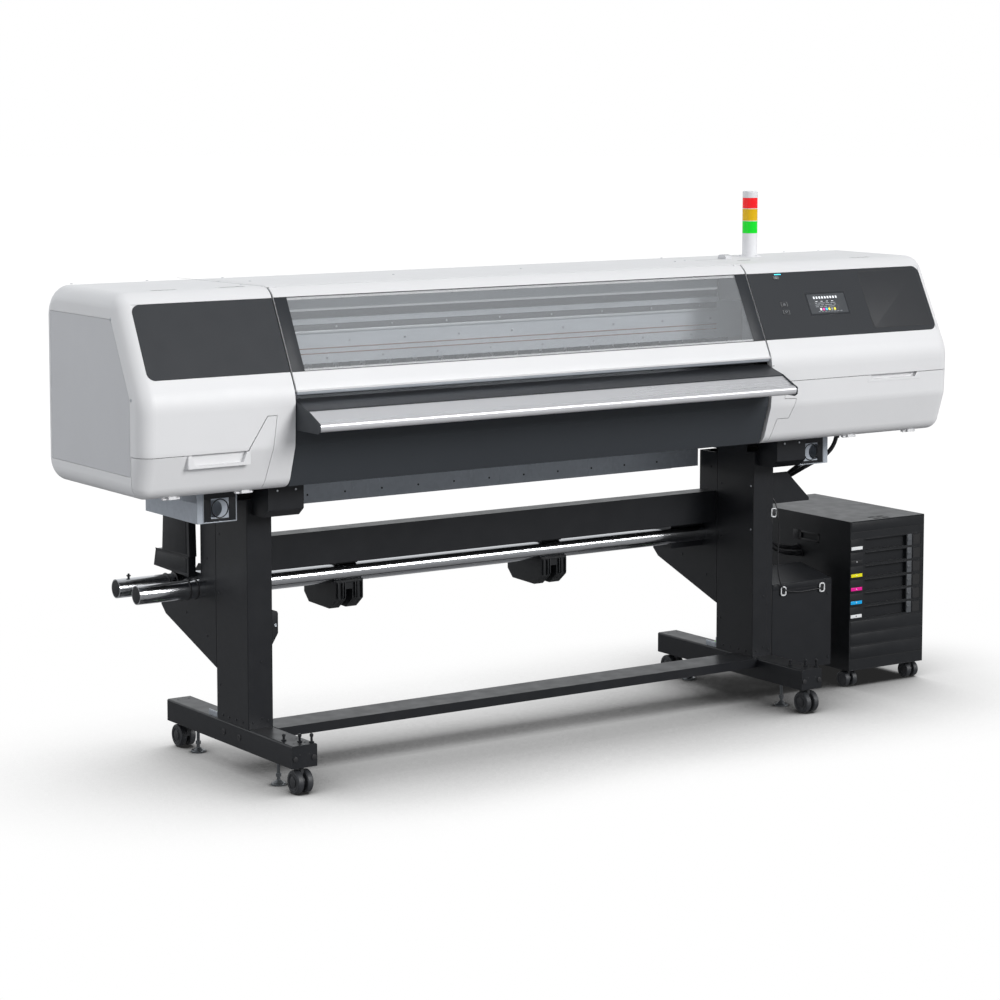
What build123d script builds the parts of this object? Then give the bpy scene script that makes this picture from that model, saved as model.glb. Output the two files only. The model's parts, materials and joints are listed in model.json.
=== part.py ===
from build123d import *
import math
import os

# Wide-format roll-to-roll inkjet printer on a stand, with its ink cabinet. Millimetres, +Z up.
# +X runs along the carriage's travel to the ink cabinet, and -Y is the operator's side.
# The origin is on the floor, under the middle of the whole object's box.

# ---- Printer body: lengths along X ----
LEFT_HOUSING = 477.3
MEDIA_OPENING = 1707.0
RIGHT_HOUSING = 748.5
COLUMN_WIDTH = 82.0
RIGHT_COLUMN_OUT = 151.6
WASTE_WIDTH = 250.0
CABINET_GAP = 54.4
CABINET_WIDTH = 323.3
CABINET_REACH = RIGHT_COLUMN_OUT + COLUMN_WIDTH / 2 + WASTE_WIDTH + CABINET_GAP + CABINET_WIDTH
SEAM = 6.0
COVER_GAP = 3.0
TOTAL_LENGTH = LEFT_HOUSING + MEDIA_OPENING + max(RIGHT_HOUSING, CABINET_REACH)
BODY_LEFT = -TOTAL_LENGTH / 2
OPEN_LEFT = BODY_LEFT + LEFT_HOUSING
OPEN_RIGHT = OPEN_LEFT + MEDIA_OPENING
BODY_RIGHT = OPEN_RIGHT + RIGHT_HOUSING

# ---- Printer body: the section that both housings, the hood and the covers share ----
BODY_TOP = 1424.0
BODY_BOTTOM = 864.0
BODY_REAR = 292.0
BODY_FRONT = -315.0
SLOPE_TOP_Y = -167.3
SLOPE_FOOT_Z = 1133.0
KNEE_Z = 988.0
KNEE_Y = -311.0
SILL_Y = -270.0
SECTION_RADII = [90.0, 60.0, 120.0, 60.0, 46.0, 68.0]
END_RADIUS = 44.0
WALL = 4.0
END_WALL = 7.0
PANEL_DEPTH = 3.0
PANEL_FRONT_Y = -243.0
HOOD_WALL = 5.0
HOOD_REAR_Y = -149.0
HOOD_AXIS = (-152.0, 1421.5)
HOOD_PIN = 1.6
HOOD_PIN_DEPTH = 12.0
HOOD_LIP_Z = 1138.0
TOP_COVER_END_Z = 1330.0
REAR_COVER_END_Z = 1085.0

# ---- Front panels on the slanted face, measured up the slope from its middle ----
SLOPE_MID = (-234.0, 1292.5)
SLOPE_PANEL = 225.0
FASCIA_THICK = 2.0
FASCIA_RADIUS = 26.0
FASCIA_EDGE = 36.0
PANE_THICK = 3.0
PANE_EDGE = 6.0
PANE_LEDGE = 8.0
SCREEN_SIZE = (163.0, 76.0)
SCREEN_AT = (208.0, -1.0)
KEY_SIZE = (27.0, 15.0)
KEY_UPPER_AT = (124.0, 4.0)
KEY_LOWER_AT = (124.0, -23.0)
POWER_SIZE = (22.0, 10.0)
POWER_AT = (124.0, 95.0)
KEY_GAP = 0.5
KEY_STAND = 1.4
KEY_HEIGHT = 9.0

# ---- Maintenance doors ----
DOOR_SPLIT_Y = -246.0
DOOR_GAP = 1.6
DOOR_PAD = 20.0
DOOR_POCKET = 14.0
LEFT_DOOR_TOP = 985.0
LEFT_DOOR_HIGH = 1078.0
LEFT_DOOR_INNER = 83.0
RIGHT_DOOR_TOP = 1063.0
RIGHT_DOOR_INNER = 54.0
RIGHT_POCKET = (345.5, 140.5)
KNUCKLE = 3.0
KNUCKLE_PIN = 1.5
KNUCKLE_LENGTH = 24.0
KNUCKLE_GAP = 0.5
DOOR_AXIS = (DOOR_SPLIT_Y - DOOR_GAP / 2, BODY_BOTTOM - 3.6)

# ---- Frame inside the body ----
CHASSIS_FRONT = -150.0
CHASSIS_REAR = 190.0
CHASSIS_TOP = 1040.0
CHASSIS_WALL = 4.0
CHASSIS_END = 48.0
RAIL_FRONT = -60.0
RAIL_REAR = 40.0
RAIL_BOTTOM = 1185.0
RAIL_TOP = 1330.0
SIDE_PLATE = 10.0
SIDE_PLATE_OUT = 15.0

# ---- Media path ----
DECK_TOP = 1118.0
DECK_THICK = 3.0
DECK_BREAK_Y = -300.0
DECK_FRONT_Y = -372.0
DECK_FRONT_Z = 1092.0
FEED_RADIUS = 20.0
PINCH_RADIUS = 8.0
ROLLER_Y = -10.0
FEED_SHAFT = 6.0
PINCH_SHAFT = 4.0
PINCH_COUNT = 18
PINCH_LENGTH = 30.0
MEDIA_GAP = 0.3
RUNNING = 0.05
BAR_FRONT_Y = -440.0
CHEEK = 3.5
CHEEK_LIP = 1.0
APRON_THICK = 3.0
APRON_INSET = 8.0
PREHEATER_Y = 192.0
PREHEATER_BOTTOM = 737.0
PREHEATER_THICK = 2.0
PREHEATER_BEND = 45.0
FIRST_PLATE = 481.0
WIDE_PLATE = 345.0
NARROW_PLATE = 96.0
PLATE_UNDER = 110.0

# ---- Print carriage ----
CARRIAGE_LENGTH = 360.0
CARRIAGE_DEPTH = 108.0
CARRIAGE_BOTTOM = 1140.0
CARRIAGE_TOP = 1300.0
CARRIAGE_HOME = 68.5
CARRIAGE_GAP = 0.6

# ---- Stand ----
LEFT_COLUMN_X = OPEN_LEFT + 4.7
RIGHT_COLUMN_X = OPEN_RIGHT + RIGHT_COLUMN_OUT
COLUMN_FRONT = -92.0
COLUMN_REAR = 96.0
COLUMN_WALL = 3.0
COLUMN_TOP = 811.0
FOOT_BOTTOM = 79.0
FOOT_TOP = 144.0
FOOT_FRONT = -341.0
FOOT_REAR = 410.0
FOOT_WALL = 4.0
FOOT_PAD = 8.0
CROSSBAR_FRONT = -118.6
CROSSBAR_DEPTH = 118.0
CROSSBAR_HEIGHT = 28.0
BEAM_FRONT = 105.0
BEAM_DEPTH = 65.0
BEAM_BOTTOM = 562.0
BEAM_TOP = 664.0
SHEET = 3.0
CASTER_Y = (-298.0, 366.0)
CASTER_RADIUS = 33.5
CASTER_TRAIL = 18.0
CASTER_LIFT = 1.5
LEVELLER_Y = (-192.0, 292.0)
LEVELLER_ROD = 5.0
LEVELLER_PAD = 22.0

# ---- Lifting frames under the housings ----
LIFT_FRONT = -150.0
LIFT_LENGTH = 315.0
LIFT_WIDTH = 107.0
LIFT_HEIGHT = 99.0
LIFT_SIDE = 58.0
LIFT_HOLE = 25.0
LIFT_HOLE_UP = 40.0

# ---- Media roll unit behind the stand ----
SHAFT_RADIUS = 28.0
SHAFT_WALL = 3.0
SHAFT_Y = (180.0, 310.0)
SHAFT_Z = 517.0
SHAFT_LEFT = 252.0
SHAFT_CLEAR = 0.3
REST_WIDTH = 96.0
REST_AT = (445.0, 1200.0)

# ---- Signal lamp ----
LAMP_X = OPEN_RIGHT + 248.0
LAMP_Y = 109.0
LAMP_RADIUS = 24.5
LAMP_CORE = 10.0
LAMP_WALL = 4.0
LAMP_POST = 76.0
LENS_HEIGHTS = {"green": 41.0, "amber": 40.0, "red": 36.0}
LAMP_CAP = 21.0

# ---- Ink cabinet ----
CABINET_RIGHT = OPEN_RIGHT + CABINET_REACH
CABINET_LEFT = CABINET_RIGHT - CABINET_WIDTH
CABINET_FRONT = -121.0
CABINET_REAR = 441.0
CABINET_BOTTOM = 57.0
CABINET_TOP = 554.6
CABINET_WALL = 2.5
TRAY_COUNT = 6
TRAY_PITCH = 45.3
TRAY_TOP = 496.0
TRAY_GAP = 1.0
TRAY_FACE = 18.0
TRAY_DEPTH = 463.0
TRAY_WALL = 2.0
TRAY_SIDE = 6.0
TRAY_RAIL = 4.0
POCKET_DEPTH = 12.0
POCKET_FROM = 65.0
POCKET_LENGTH = 181.0
CABINET_CASTER_IN = 27.0
CABINET_CASTER_FRONT = 50.0
CABINET_CASTER_REAR = 45.0
CABINET_WHEEL = 25.0

# ---- Waste ink box, hoses and sensor lead ----
WASTE_DEPTH = 160.0
WASTE_BOTTOM = 84.0
WASTE_FRONT_TOP = 372.0
WASTE_REAR_TOP = 402.0
HOSE_RADIUS = 7.0
HOSE_EXIT_Y = -100.0
HOSE_EXIT_X = (418.0, 470.0)
LEAD_RADIUS = 2.0

# Unit vectors of the slanted face: up the slope, and out of it.
SLOPE_RUN = SLOPE_TOP_Y - BODY_FRONT
SLOPE_RISE = BODY_TOP - SLOPE_FOOT_Z
SLOPE_LENGTH = math.hypot(SLOPE_RUN, SLOPE_RISE)
SLOPE_UP = Vector(0, SLOPE_RUN / SLOPE_LENGTH, SLOPE_RISE / SLOPE_LENGTH)
SLOPE_OUT = Vector(0, -SLOPE_UP.Z, SLOPE_UP.Y)


def block(x0, x1, y0, y1, z0, z1):
    """A box between two corners."""
    middle = Pos((x0 + x1) / 2, (y0 + y1) / 2, (z0 + z1) / 2)
    return middle * Box(x1 - x0, y1 - y0, z1 - z0)


def prism_x(points, x0, x1):
    """A (y, z) outline extruded along X."""
    outline = Polyline(*[(x0, y, z) for y, z in points], close=True)
    return extrude(make_face(outline), amount=x1 - x0, dir=(1, 0, 0))


def prism_y(points, y0, y1):
    """An (x, z) outline extruded along Y."""
    outline = Polyline(*[(x, y0, z) for x, z in points], close=True)
    return extrude(make_face(outline), amount=y1 - y0, dir=(0, 1, 0))


def rod_x(x0, x1, y, z, radius):
    return Pos((x0 + x1) / 2, y, z) * Rot(0, 90, 0) * Cylinder(radius, x1 - x0)


def rod_y(x, y0, y1, z, radius):
    return Pos(x, (y0 + y1) / 2, z) * Rot(90, 0, 0) * Cylinder(radius, y1 - y0)


def rod_z(x, y, z0, z1, radius):
    return Pos(x, y, (z0 + z1) / 2) * Cylinder(radius, z1 - z0)


def slope_plane(x):
    """The slanted face's own plane, with its middle at x."""
    return Plane(origin=(x, SLOPE_MID[0], SLOPE_MID[1]), x_dir=(1, 0, 0), z_dir=SLOPE_OUT)


def slope_slab(x0, x1, low, high, inner, outer, radius=0.0):
    """A slab on the slanted face: low and high are up the slope, inner and outer are out of it."""
    sketch = Rectangle(x1 - x0, high - low)
    if radius:
        sketch = fillet(sketch.vertices(), radius)
    base = slope_plane((x0 + x1) / 2).offset(inner) * Pos(0, (low + high) / 2) * sketch
    return extrude(base, amount=outer - inner, dir=SLOPE_OUT)


# ---- Body section ----

def section_points():
    return [
        (BODY_REAR, BODY_TOP),
        (SLOPE_TOP_Y, BODY_TOP),
        (BODY_FRONT, SLOPE_FOOT_Z),
        (KNEE_Y, KNEE_Z),
        (SILL_Y, BODY_BOTTOM),
        (BODY_REAR, BODY_BOTTOM),
    ]


def section_face(x, inset=0.0):
    """The body's closed section at x, moved in by inset."""
    points = [(x, y, z) for y, z in section_points()]
    face = make_face(FilletPolyline(*points, radius=SECTION_RADII, close=True))
    return offset(face, -inset) if inset else face


def section_solid(x0, x1, inset=0.0):
    return extrude(section_face(x0, inset), amount=x1 - x0, dir=(1, 0, 0))


def section_skin(x0, x1, wall):
    return section_solid(x0, x1) - section_solid(x0 - 1, x1 + 1, wall)


def housing_shell(x0, x1, outer_x):
    """A housing's shell, open to the media opening, with a rounded end wall at outer_x."""
    solid = section_solid(x0, x1)
    solid = fillet(solid.faces().sort_by_distance((outer_x, 0, 1150))[0].edges(), END_RADIUS)
    if outer_x == x0:
        inner = section_solid(x0 + END_WALL, x1 - WALL, WALL)
        core = section_solid(x0 + END_WALL, x0 + END_WALL + END_RADIUS, WALL)
        end = core.faces().sort_by_distance((outer_x, 0, 1150))[0]
    else:
        inner = section_solid(x0 + WALL, x1 - END_WALL, WALL)
        core = section_solid(x1 - END_WALL - END_RADIUS, x1 - END_WALL, WALL)
        end = core.faces().sort_by_distance((outer_x, 0, 1150))[0]
    rounded = fillet(end.edges(), END_RADIUS - END_WALL)
    return solid - (inner - (core - rounded))


def inner_wall_cut(x0, x1):
    """The passage through a housing's inner wall, for the carriage and the chassis."""
    upper = section_solid(x0, x1, 24.0) & block(x0, x1, -400, 400, CHASSIS_TOP + 14, BODY_TOP)
    lower = block(x0, x1, CHASSIS_FRONT - 2, BODY_REAR - 24, BODY_BOTTOM + WALL, CHASSIS_TOP + 15)
    return upper + lower


def end_panel_outline(gap=0.0):
    """The light grey end panel's (y, z) outline."""
    return [
        (BODY_REAR - END_RADIUS - gap, 1352 - gap),
        (-134 + gap * 0.5, 1352 - gap),
        (PANEL_FRONT_Y + gap, 1140),
        (PANEL_FRONT_Y + gap, 928 + gap),
        (BODY_REAR - END_RADIUS - gap, 928 + gap),
    ]


def left_door_outline(gap):
    """(x, z) outline of the left door, its free edges moved in by gap."""
    inner = OPEN_LEFT - LEFT_DOOR_INNER + 25
    return [
        (BODY_LEFT - 5, BODY_BOTTOM - 5),
        (inner - 26 - gap, BODY_BOTTOM - 5),
        (inner - gap, LEFT_DOOR_HIGH - gap),
        (inner - 32 + gap, LEFT_DOOR_HIGH - gap),
        (inner - 92 + gap, LEFT_DOOR_TOP - gap),
        (BODY_LEFT - 5, LEFT_DOOR_TOP - gap),
    ]


def right_door_outline(gap):
    """(x, z) outline of the right door, its free edges moved in by gap."""
    inner = OPEN_RIGHT + RIGHT_DOOR_INNER
    return [
        (BODY_RIGHT + 5, BODY_BOTTOM - 5),
        (inner - 36 + gap, BODY_BOTTOM - 5),
        (inner - 19 + gap, 945 - gap),
        (inner + 27 + gap, 945 - gap),
        (inner + 47 + gap, 1005 + gap),
        (inner + gap, 1007 + gap),
        (inner + gap, RIGHT_DOOR_TOP - gap),
        (BODY_RIGHT + 5, RIGHT_DOOR_TOP - gap),
    ]


def door_zone(outline, gap):
    return prism_y(outline(gap), -420, DOOR_SPLIT_Y - gap)


def pocket(x0, x1, top, height, depth):
    """A finger pocket in a door's top edge: wide at its top, with sloping ends."""
    taper = 14.0
    outline = [(x0, top + 5), (x1, top + 5), (x1 - taper, top - height), (x0 + taper, top - height)]
    return prism_y(outline, BODY_FRONT - 10, BODY_FRONT + depth)


def make_door(shell, outline, x0, x1, top, height):
    """A door: its part of the shell, with a pad behind the finger pocket."""
    zone = door_zone(outline, DOOR_GAP)
    pad = block(x0 - 8, x1 + 8, BODY_FRONT + WALL / 2, BODY_FRONT + DOOR_PAD, top - height - 8, top + 5)
    body = (shell & zone) + (pad & zone)
    for x in hinge_places(x0, x1):
        body += door_knuckle(x)
    return body - pocket(x0, x1, top, height, DOOR_POCKET)


def hinge_places(x0, x1):
    """Where a door's two hinges start, from its finger pocket's ends."""
    return (x0 - 40, x1 + 10)


def door_knuckle(x):
    """The middle knuckle of a door's hinge, under the door's rear edge."""
    y, z = DOOR_AXIS
    edge = DOOR_SPLIT_Y - DOOR_GAP
    knuckle = rod_x(x, x + KNUCKLE_LENGTH, y, z, KNUCKLE)
    knuckle += block(x, x + KNUCKLE_LENGTH, edge - 9, edge, z - 1.5, BODY_BOTTOM + WALL)
    return knuckle - rod_x(x - 1, x + KNUCKLE_LENGTH + 1, y, z, KNUCKLE_PIN + RUNNING)


def housing_knuckles(x):
    """The two outer knuckles of a door's hinge, with its pin."""
    y, z = DOOR_AXIS
    x1 = x + KNUCKLE_LENGTH + KNUCKLE_GAP
    hinge = rod_x(x - KNUCKLE_GAP - 14, x1 + 14, y, z, KNUCKLE_PIN)
    for a in (x - KNUCKLE_GAP - 14, x1):
        hinge += rod_x(a, a + 14, y, z, KNUCKLE)
        hinge += block(a, a + 14, DOOR_SPLIT_Y, DOOR_SPLIT_Y + 8, z - 1.5, BODY_BOTTOM + WALL / 2)
    return hinge


def make_left_housing():
    shell = housing_shell(BODY_LEFT, OPEN_LEFT, BODY_LEFT)
    door = make_door(
        shell,
        left_door_outline,
        OPEN_LEFT - 329,
        OPEN_LEFT - 152,
        LEFT_DOOR_TOP,
        30.0,
    )
    shell -= inner_wall_cut(OPEN_LEFT - WALL - 1, OPEN_LEFT + 1)
    shell -= prism_y(left_door_outline(0.0), -420, DOOR_SPLIT_Y)
    shell -= prism_x(end_panel_outline(), BODY_LEFT - 1, BODY_LEFT + PANEL_DEPTH)
    shell -= slope_slab(
        BODY_LEFT + FASCIA_EDGE,
        OPEN_LEFT + 10,
        -SLOPE_PANEL / 2,
        SLOPE_PANEL / 2,
        -FASCIA_THICK,
        10,
    )
    shell -= block(BODY_LEFT + 6, OPEN_LEFT - 4, -330, BODY_FRONT + 1.4, 1077.4, 1079.0)
    for x in (OPEN_LEFT - 365, OPEN_LEFT - 150):
        shell -= block(x, x + 76, -128, -120, BODY_TOP - WALL - 1, BODY_TOP + 1)
    for x in hinge_places(OPEN_LEFT - 329, OPEN_LEFT - 152):
        shell += housing_knuckles(x)
    shell += rod_x(OPEN_LEFT - WALL, OPEN_LEFT + SEAM + HOOD_PIN_DEPTH, *HOOD_AXIS, HOOD_PIN)
    return shell, door


def make_right_housing():
    shell = housing_shell(OPEN_RIGHT, BODY_RIGHT, BODY_RIGHT)
    finger = (BODY_RIGHT - RIGHT_POCKET[0], BODY_RIGHT - RIGHT_POCKET[1])
    door = make_door(shell, right_door_outline, *finger, RIGHT_DOOR_TOP, 15.0)
    shell -= inner_wall_cut(OPEN_RIGHT - 1, OPEN_RIGHT + WALL + 1)
    shell -= prism_y(right_door_outline(0.0), -420, DOOR_SPLIT_Y)
    shell -= prism_x(end_panel_outline(), BODY_RIGHT - PANEL_DEPTH, BODY_RIGHT + 1)
    shell -= slope_slab(
        OPEN_RIGHT - 10,
        BODY_RIGHT - FASCIA_EDGE,
        -SLOPE_PANEL / 2,
        SLOPE_PANEL / 2,
        -FASCIA_THICK,
        10,
    )
    shell -= key_holes(-WALL - 8)
    shell -= block(BODY_RIGHT - 252.5, BODY_RIGHT - 176.5, -128, -120, BODY_TOP - WALL - 1, BODY_TOP + 1)
    shell -= block(BODY_RIGHT - 140, BODY_RIGHT - 90, BODY_REAR - 10, BODY_REAR + 5, 916, 946)
    for x in HOSE_EXIT_X:
        shell -= rod_z(OPEN_RIGHT + x, HOSE_EXIT_Y, BODY_BOTTOM - 5, BODY_BOTTOM + 10, HOSE_RADIUS)
    for x in hinge_places(*finger):
        shell += housing_knuckles(x)
    shell += rod_x(OPEN_RIGHT - SEAM - HOOD_PIN_DEPTH, OPEN_RIGHT + WALL, *HOOD_AXIS, HOOD_PIN)
    return shell, door


def make_end_panels():
    left = prism_x(end_panel_outline(1.2), BODY_LEFT, BODY_LEFT + PANEL_DEPTH)
    right = prism_x(end_panel_outline(1.2), BODY_RIGHT - PANEL_DEPTH, BODY_RIGHT)
    return [left, right]


def key_places():
    return {
        "key_upper": (KEY_UPPER_AT, KEY_SIZE),
        "key_lower": (KEY_LOWER_AT, KEY_SIZE),
        "power_button": (POWER_AT, POWER_SIZE),
    }


def key_holes(inner):
    """The holes that the three keys pass through."""
    holes = []
    for (x, up), (width, height) in key_places().values():
        x += OPEN_RIGHT - 12
        grow = KEY_GAP
        holes.append(
            slope_slab(
                x - width / 2 - grow,
                x + width / 2 + grow,
                up - height / 2 - grow,
                up + height / 2 + grow,
                inner,
                10,
            )
        )
    return holes


def make_key(name):
    (x, up), (width, height) = key_places()[name]
    x += OPEN_RIGHT - 12
    return slope_slab(
        x - width / 2,
        x + width / 2,
        up - height / 2,
        up + height / 2,
        KEY_STAND - KEY_HEIGHT,
        KEY_STAND,
        2.0,
    )


def fascia(x0, x1, rounded_left):
    """A dark panel flush in the slanted face, with two rounded corners at its outer end."""
    half = SLOPE_PANEL / 2 - 0.5
    sketch = Rectangle(x1 - x0, 2 * half)
    corners = sketch.vertices().sort_by(Axis.X)
    sketch = fillet(corners[:2] if rounded_left else corners[2:], FASCIA_RADIUS)
    base = slope_plane((x0 + x1) / 2).offset(-FASCIA_THICK) * sketch
    return extrude(base, amount=FASCIA_THICK, dir=SLOPE_OUT)


def screen_slab(grow, inner, outer):
    x = OPEN_RIGHT + SCREEN_AT[0] + SCREEN_SIZE[0] / 2
    width, height = SCREEN_SIZE
    return slope_slab(
        x - width / 2 - grow,
        x + width / 2 + grow,
        SCREEN_AT[1] - height / 2 - grow,
        SCREEN_AT[1] + height / 2 + grow,
        inner,
        outer,
    )


def make_fascias():
    left = fascia(BODY_LEFT + FASCIA_EDGE + 0.5, OPEN_LEFT, True)
    right = fascia(OPEN_RIGHT, BODY_RIGHT - FASCIA_EDGE - 0.5, False)
    right -= key_holes(-10)
    right -= screen_slab(0.4, -FASCIA_THICK - 1, 5)
    return [left, right]


# ---- Hood and centre covers ----

def make_hood():
    x0 = OPEN_LEFT + SEAM
    x1 = OPEN_RIGHT - SEAM
    zone = block(x0 - 1, x1 + 1, -400, HOOD_REAR_Y, HOOD_LIP_Z, BODY_TOP + 5)
    frame = section_skin(x0, x1, HOOD_WALL) & zone
    frame += block(x0, x1, BODY_FRONT + 2, BODY_FRONT + 24, HOOD_LIP_Z, HOOD_LIP_Z + 5)
    half = SLOPE_PANEL / 2
    frame -= slope_slab(x0 + PANE_EDGE, x1 - PANE_EDGE, -half, half, -PANE_THICK, 10)
    frame -= slope_slab(
        x0 + PANE_EDGE + PANE_LEDGE,
        x1 - PANE_EDGE - PANE_LEDGE,
        -half + PANE_LEDGE,
        half - PANE_LEDGE,
        -HOOD_WALL - 5,
        10,
    )
    y, z = HOOD_AXIS
    for a, b in ((x0, x0 + 2 * HOOD_PIN_DEPTH), (x1 - 2 * HOOD_PIN_DEPTH, x1)):
        frame += block(a, b, y - 6, HOOD_REAR_Y, z - 8, z)
    for a, b in ((x0 - 1, x0 + HOOD_PIN_DEPTH + 1), (x1 - HOOD_PIN_DEPTH - 1, x1 + 1)):
        frame -= rod_x(a, b, y, z, HOOD_PIN + RUNNING)
    pane = slope_slab(x0 + PANE_EDGE, x1 - PANE_EDGE, -half, half, -PANE_THICK, 0)
    return frame, pane


def make_centre_covers():
    return [make_top_cover(), make_rear_cover()]


def make_top_cover():
    x0 = OPEN_LEFT + COVER_GAP
    x1 = OPEN_RIGHT - COVER_GAP
    zone = block(x0 - 1, x1 + 1, HOOD_REAR_Y + COVER_GAP, 400, TOP_COVER_END_Z, BODY_TOP + 5)
    shelf = block(x0, x1, RAIL_REAR - WALL, RAIL_REAR, RAIL_TOP, BODY_TOP - WALL)
    return (section_skin(x0, x1, WALL) & zone) + shelf


def make_rear_cover():
    x0 = OPEN_LEFT + COVER_GAP
    x1 = OPEN_RIGHT - COVER_GAP
    skin = block(x0, x1, BODY_REAR - WALL, BODY_REAR, REAR_COVER_END_Z + 40, TOP_COVER_END_Z)
    roof = block(x0, x1, RAIL_REAR, BODY_REAR - WALL, TOP_COVER_END_Z - 60, TOP_COVER_END_Z - 56)
    lip = block(x0, x1, BODY_REAR - 20, BODY_REAR - WALL, REAR_COVER_END_Z + 40, REAR_COVER_END_Z + 44)
    return skin + roof + lip


# ---- Frame inside the body ----

def make_chassis():
    x0 = BODY_LEFT + CHASSIS_END
    x1 = BODY_RIGHT - CHASSIS_END
    bottom = BODY_BOTTOM + WALL
    tube = block(x0, x1, CHASSIS_FRONT, CHASSIS_REAR, bottom, CHASSIS_TOP)
    w = CHASSIS_WALL
    tube -= block(x0 - 1, x1 + 1, CHASSIS_FRONT + w, CHASSIS_REAR - w, bottom + w, CHASSIS_TOP - w)
    plates = []
    for x in side_plate_places():
        plate = block(x, x + SIDE_PLATE, RAIL_FRONT, CHASSIS_REAR - 30, CHASSIS_TOP, RAIL_BOTTOM)
        plate -= rod_x(x - 1, x + SIDE_PLATE + 1, ROLLER_Y, feed_z(), FEED_SHAFT + RUNNING)
        plate -= rod_x(x - 1, x + SIDE_PLATE + 1, ROLLER_Y, pinch_z(), PINCH_SHAFT + RUNNING)
        plates.append(plate)
    return tube + plates


def side_plate_places():
    return (OPEN_LEFT - SIDE_PLATE_OUT - SIDE_PLATE, OPEN_RIGHT + SIDE_PLATE_OUT)


def feed_z():
    return DECK_TOP - FEED_RADIUS


def pinch_z():
    return DECK_TOP + PINCH_RADIUS + MEDIA_GAP


def make_rail():
    x0 = BODY_LEFT + CHASSIS_END
    x1 = BODY_RIGHT - CHASSIS_END
    rail = block(x0, x1, RAIL_FRONT, RAIL_REAR, RAIL_BOTTOM, RAIL_TOP)
    w = CHASSIS_WALL
    rail -= block(x0 - 1, x1 + 1, RAIL_FRONT + w, RAIL_REAR - w, RAIL_BOTTOM + w, RAIL_TOP - w)
    rail += block(x0, x1, RAIL_FRONT - 8, RAIL_FRONT, RAIL_TOP - 30, RAIL_TOP - 14)
    return rail


def roller_span():
    plates = side_plate_places()
    return plates[0] - 6, plates[1] + SIDE_PLATE + 6


def make_feed_roller():
    x0, x1 = roller_span()
    shaft = rod_x(x0, x1, ROLLER_Y, feed_z(), FEED_SHAFT)
    return shaft + rod_x(OPEN_LEFT + SEAM, OPEN_RIGHT - SEAM, ROLLER_Y, feed_z(), FEED_RADIUS)


def make_pinch_rollers():
    x0, x1 = roller_span()
    rollers = rod_x(x0, x1, ROLLER_Y, pinch_z(), PINCH_SHAFT)
    pitch = (MEDIA_OPENING - 2 * SEAM) / PINCH_COUNT
    for i in range(PINCH_COUNT):
        x = OPEN_LEFT + SEAM + (i + 0.5) * pitch
        rollers += rod_x(x - PINCH_LENGTH / 2, x + PINCH_LENGTH / 2, ROLLER_Y, pinch_z(), PINCH_RADIUS)
    return rollers


def carriage_x():
    return OPEN_RIGHT + CARRIAGE_HOME + CARRIAGE_LENGTH / 2


def make_carriage():
    """The carriage's box, its rail shoe and its heads."""
    x = carriage_x()
    half = CARRIAGE_LENGTH / 2
    rear = RAIL_FRONT - 8 - CARRIAGE_GAP
    front = rear - CARRIAGE_DEPTH
    box = block(x - half, x + half, front, rear, CARRIAGE_BOTTOM, CARRIAGE_TOP)
    box = fillet(box.edges().filter_by(Axis.Z), 8)
    for i in range(4):
        head = x - half + 60 + i * 80
        box += block(head - 26, head + 26, front + 20, rear - 20, CARRIAGE_BOTTOM - 6, CARRIAGE_BOTTOM)
    return box


def make_capping_station():
    x = carriage_x()
    rear = RAIL_FRONT - 8 - CARRIAGE_GAP
    tray = block(x - 170, x + 170, rear - CARRIAGE_DEPTH, rear, CHASSIS_TOP, CARRIAGE_BOTTOM - 30)
    for i in range(4):
        cap = x - CARRIAGE_LENGTH / 2 + 60 + i * 80
        tray += block(cap - 30, cap + 30, rear - 92, rear - 16, CARRIAGE_BOTTOM - 30, CARRIAGE_BOTTOM - 8)
    return tray


# ---- Media path ----

def deck_span():
    return OPEN_LEFT + SEAM, OPEN_RIGHT - SEAM


def make_deck():
    x0, x1 = deck_span()
    rear = ROLLER_Y - FEED_RADIUS - 2
    outline = [
        (rear, DECK_TOP),
        (DECK_BREAK_Y, DECK_TOP),
        (DECK_FRONT_Y, DECK_FRONT_Z),
        (DECK_FRONT_Y, DECK_FRONT_Z - 20),
        (DECK_FRONT_Y + DECK_THICK, DECK_FRONT_Z - 20),
        (DECK_FRONT_Y + DECK_THICK, DECK_FRONT_Z - DECK_THICK),
        (DECK_BREAK_Y, DECK_TOP - DECK_THICK),
        (rear, DECK_TOP - DECK_THICK),
    ]
    web = block(x0, x1, CHASSIS_FRONT + 2, CHASSIS_FRONT + 6, CHASSIS_TOP, DECK_TOP - DECK_THICK)
    return prism_x(outline, x0, x1) + web


def make_guide_bar():
    """The satin bar along the deck's front edge: a sloping flat and a rounded nose."""
    x0, x1 = deck_span()
    points = [
        (DECK_FRONT_Y, DECK_FRONT_Z - 3),
        (BAR_FRONT_Y + 24, 1067),
        (BAR_FRONT_Y, 1060),
        (BAR_FRONT_Y, 1036),
        (BAR_FRONT_Y + 36, 1038),
        (BAR_FRONT_Y + 50, 1060),
        (DECK_FRONT_Y, 1072),
    ]
    outline = Polyline(*[(x0, y, z) for y, z in points], close=True)
    face = make_face(outline)
    nose = face.vertices().filter_by(lambda v: v.Y < BAR_FRONT_Y + 1)
    return extrude(fillet(nose, 11), amount=x1 - x0, dir=(1, 0, 0))


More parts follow.
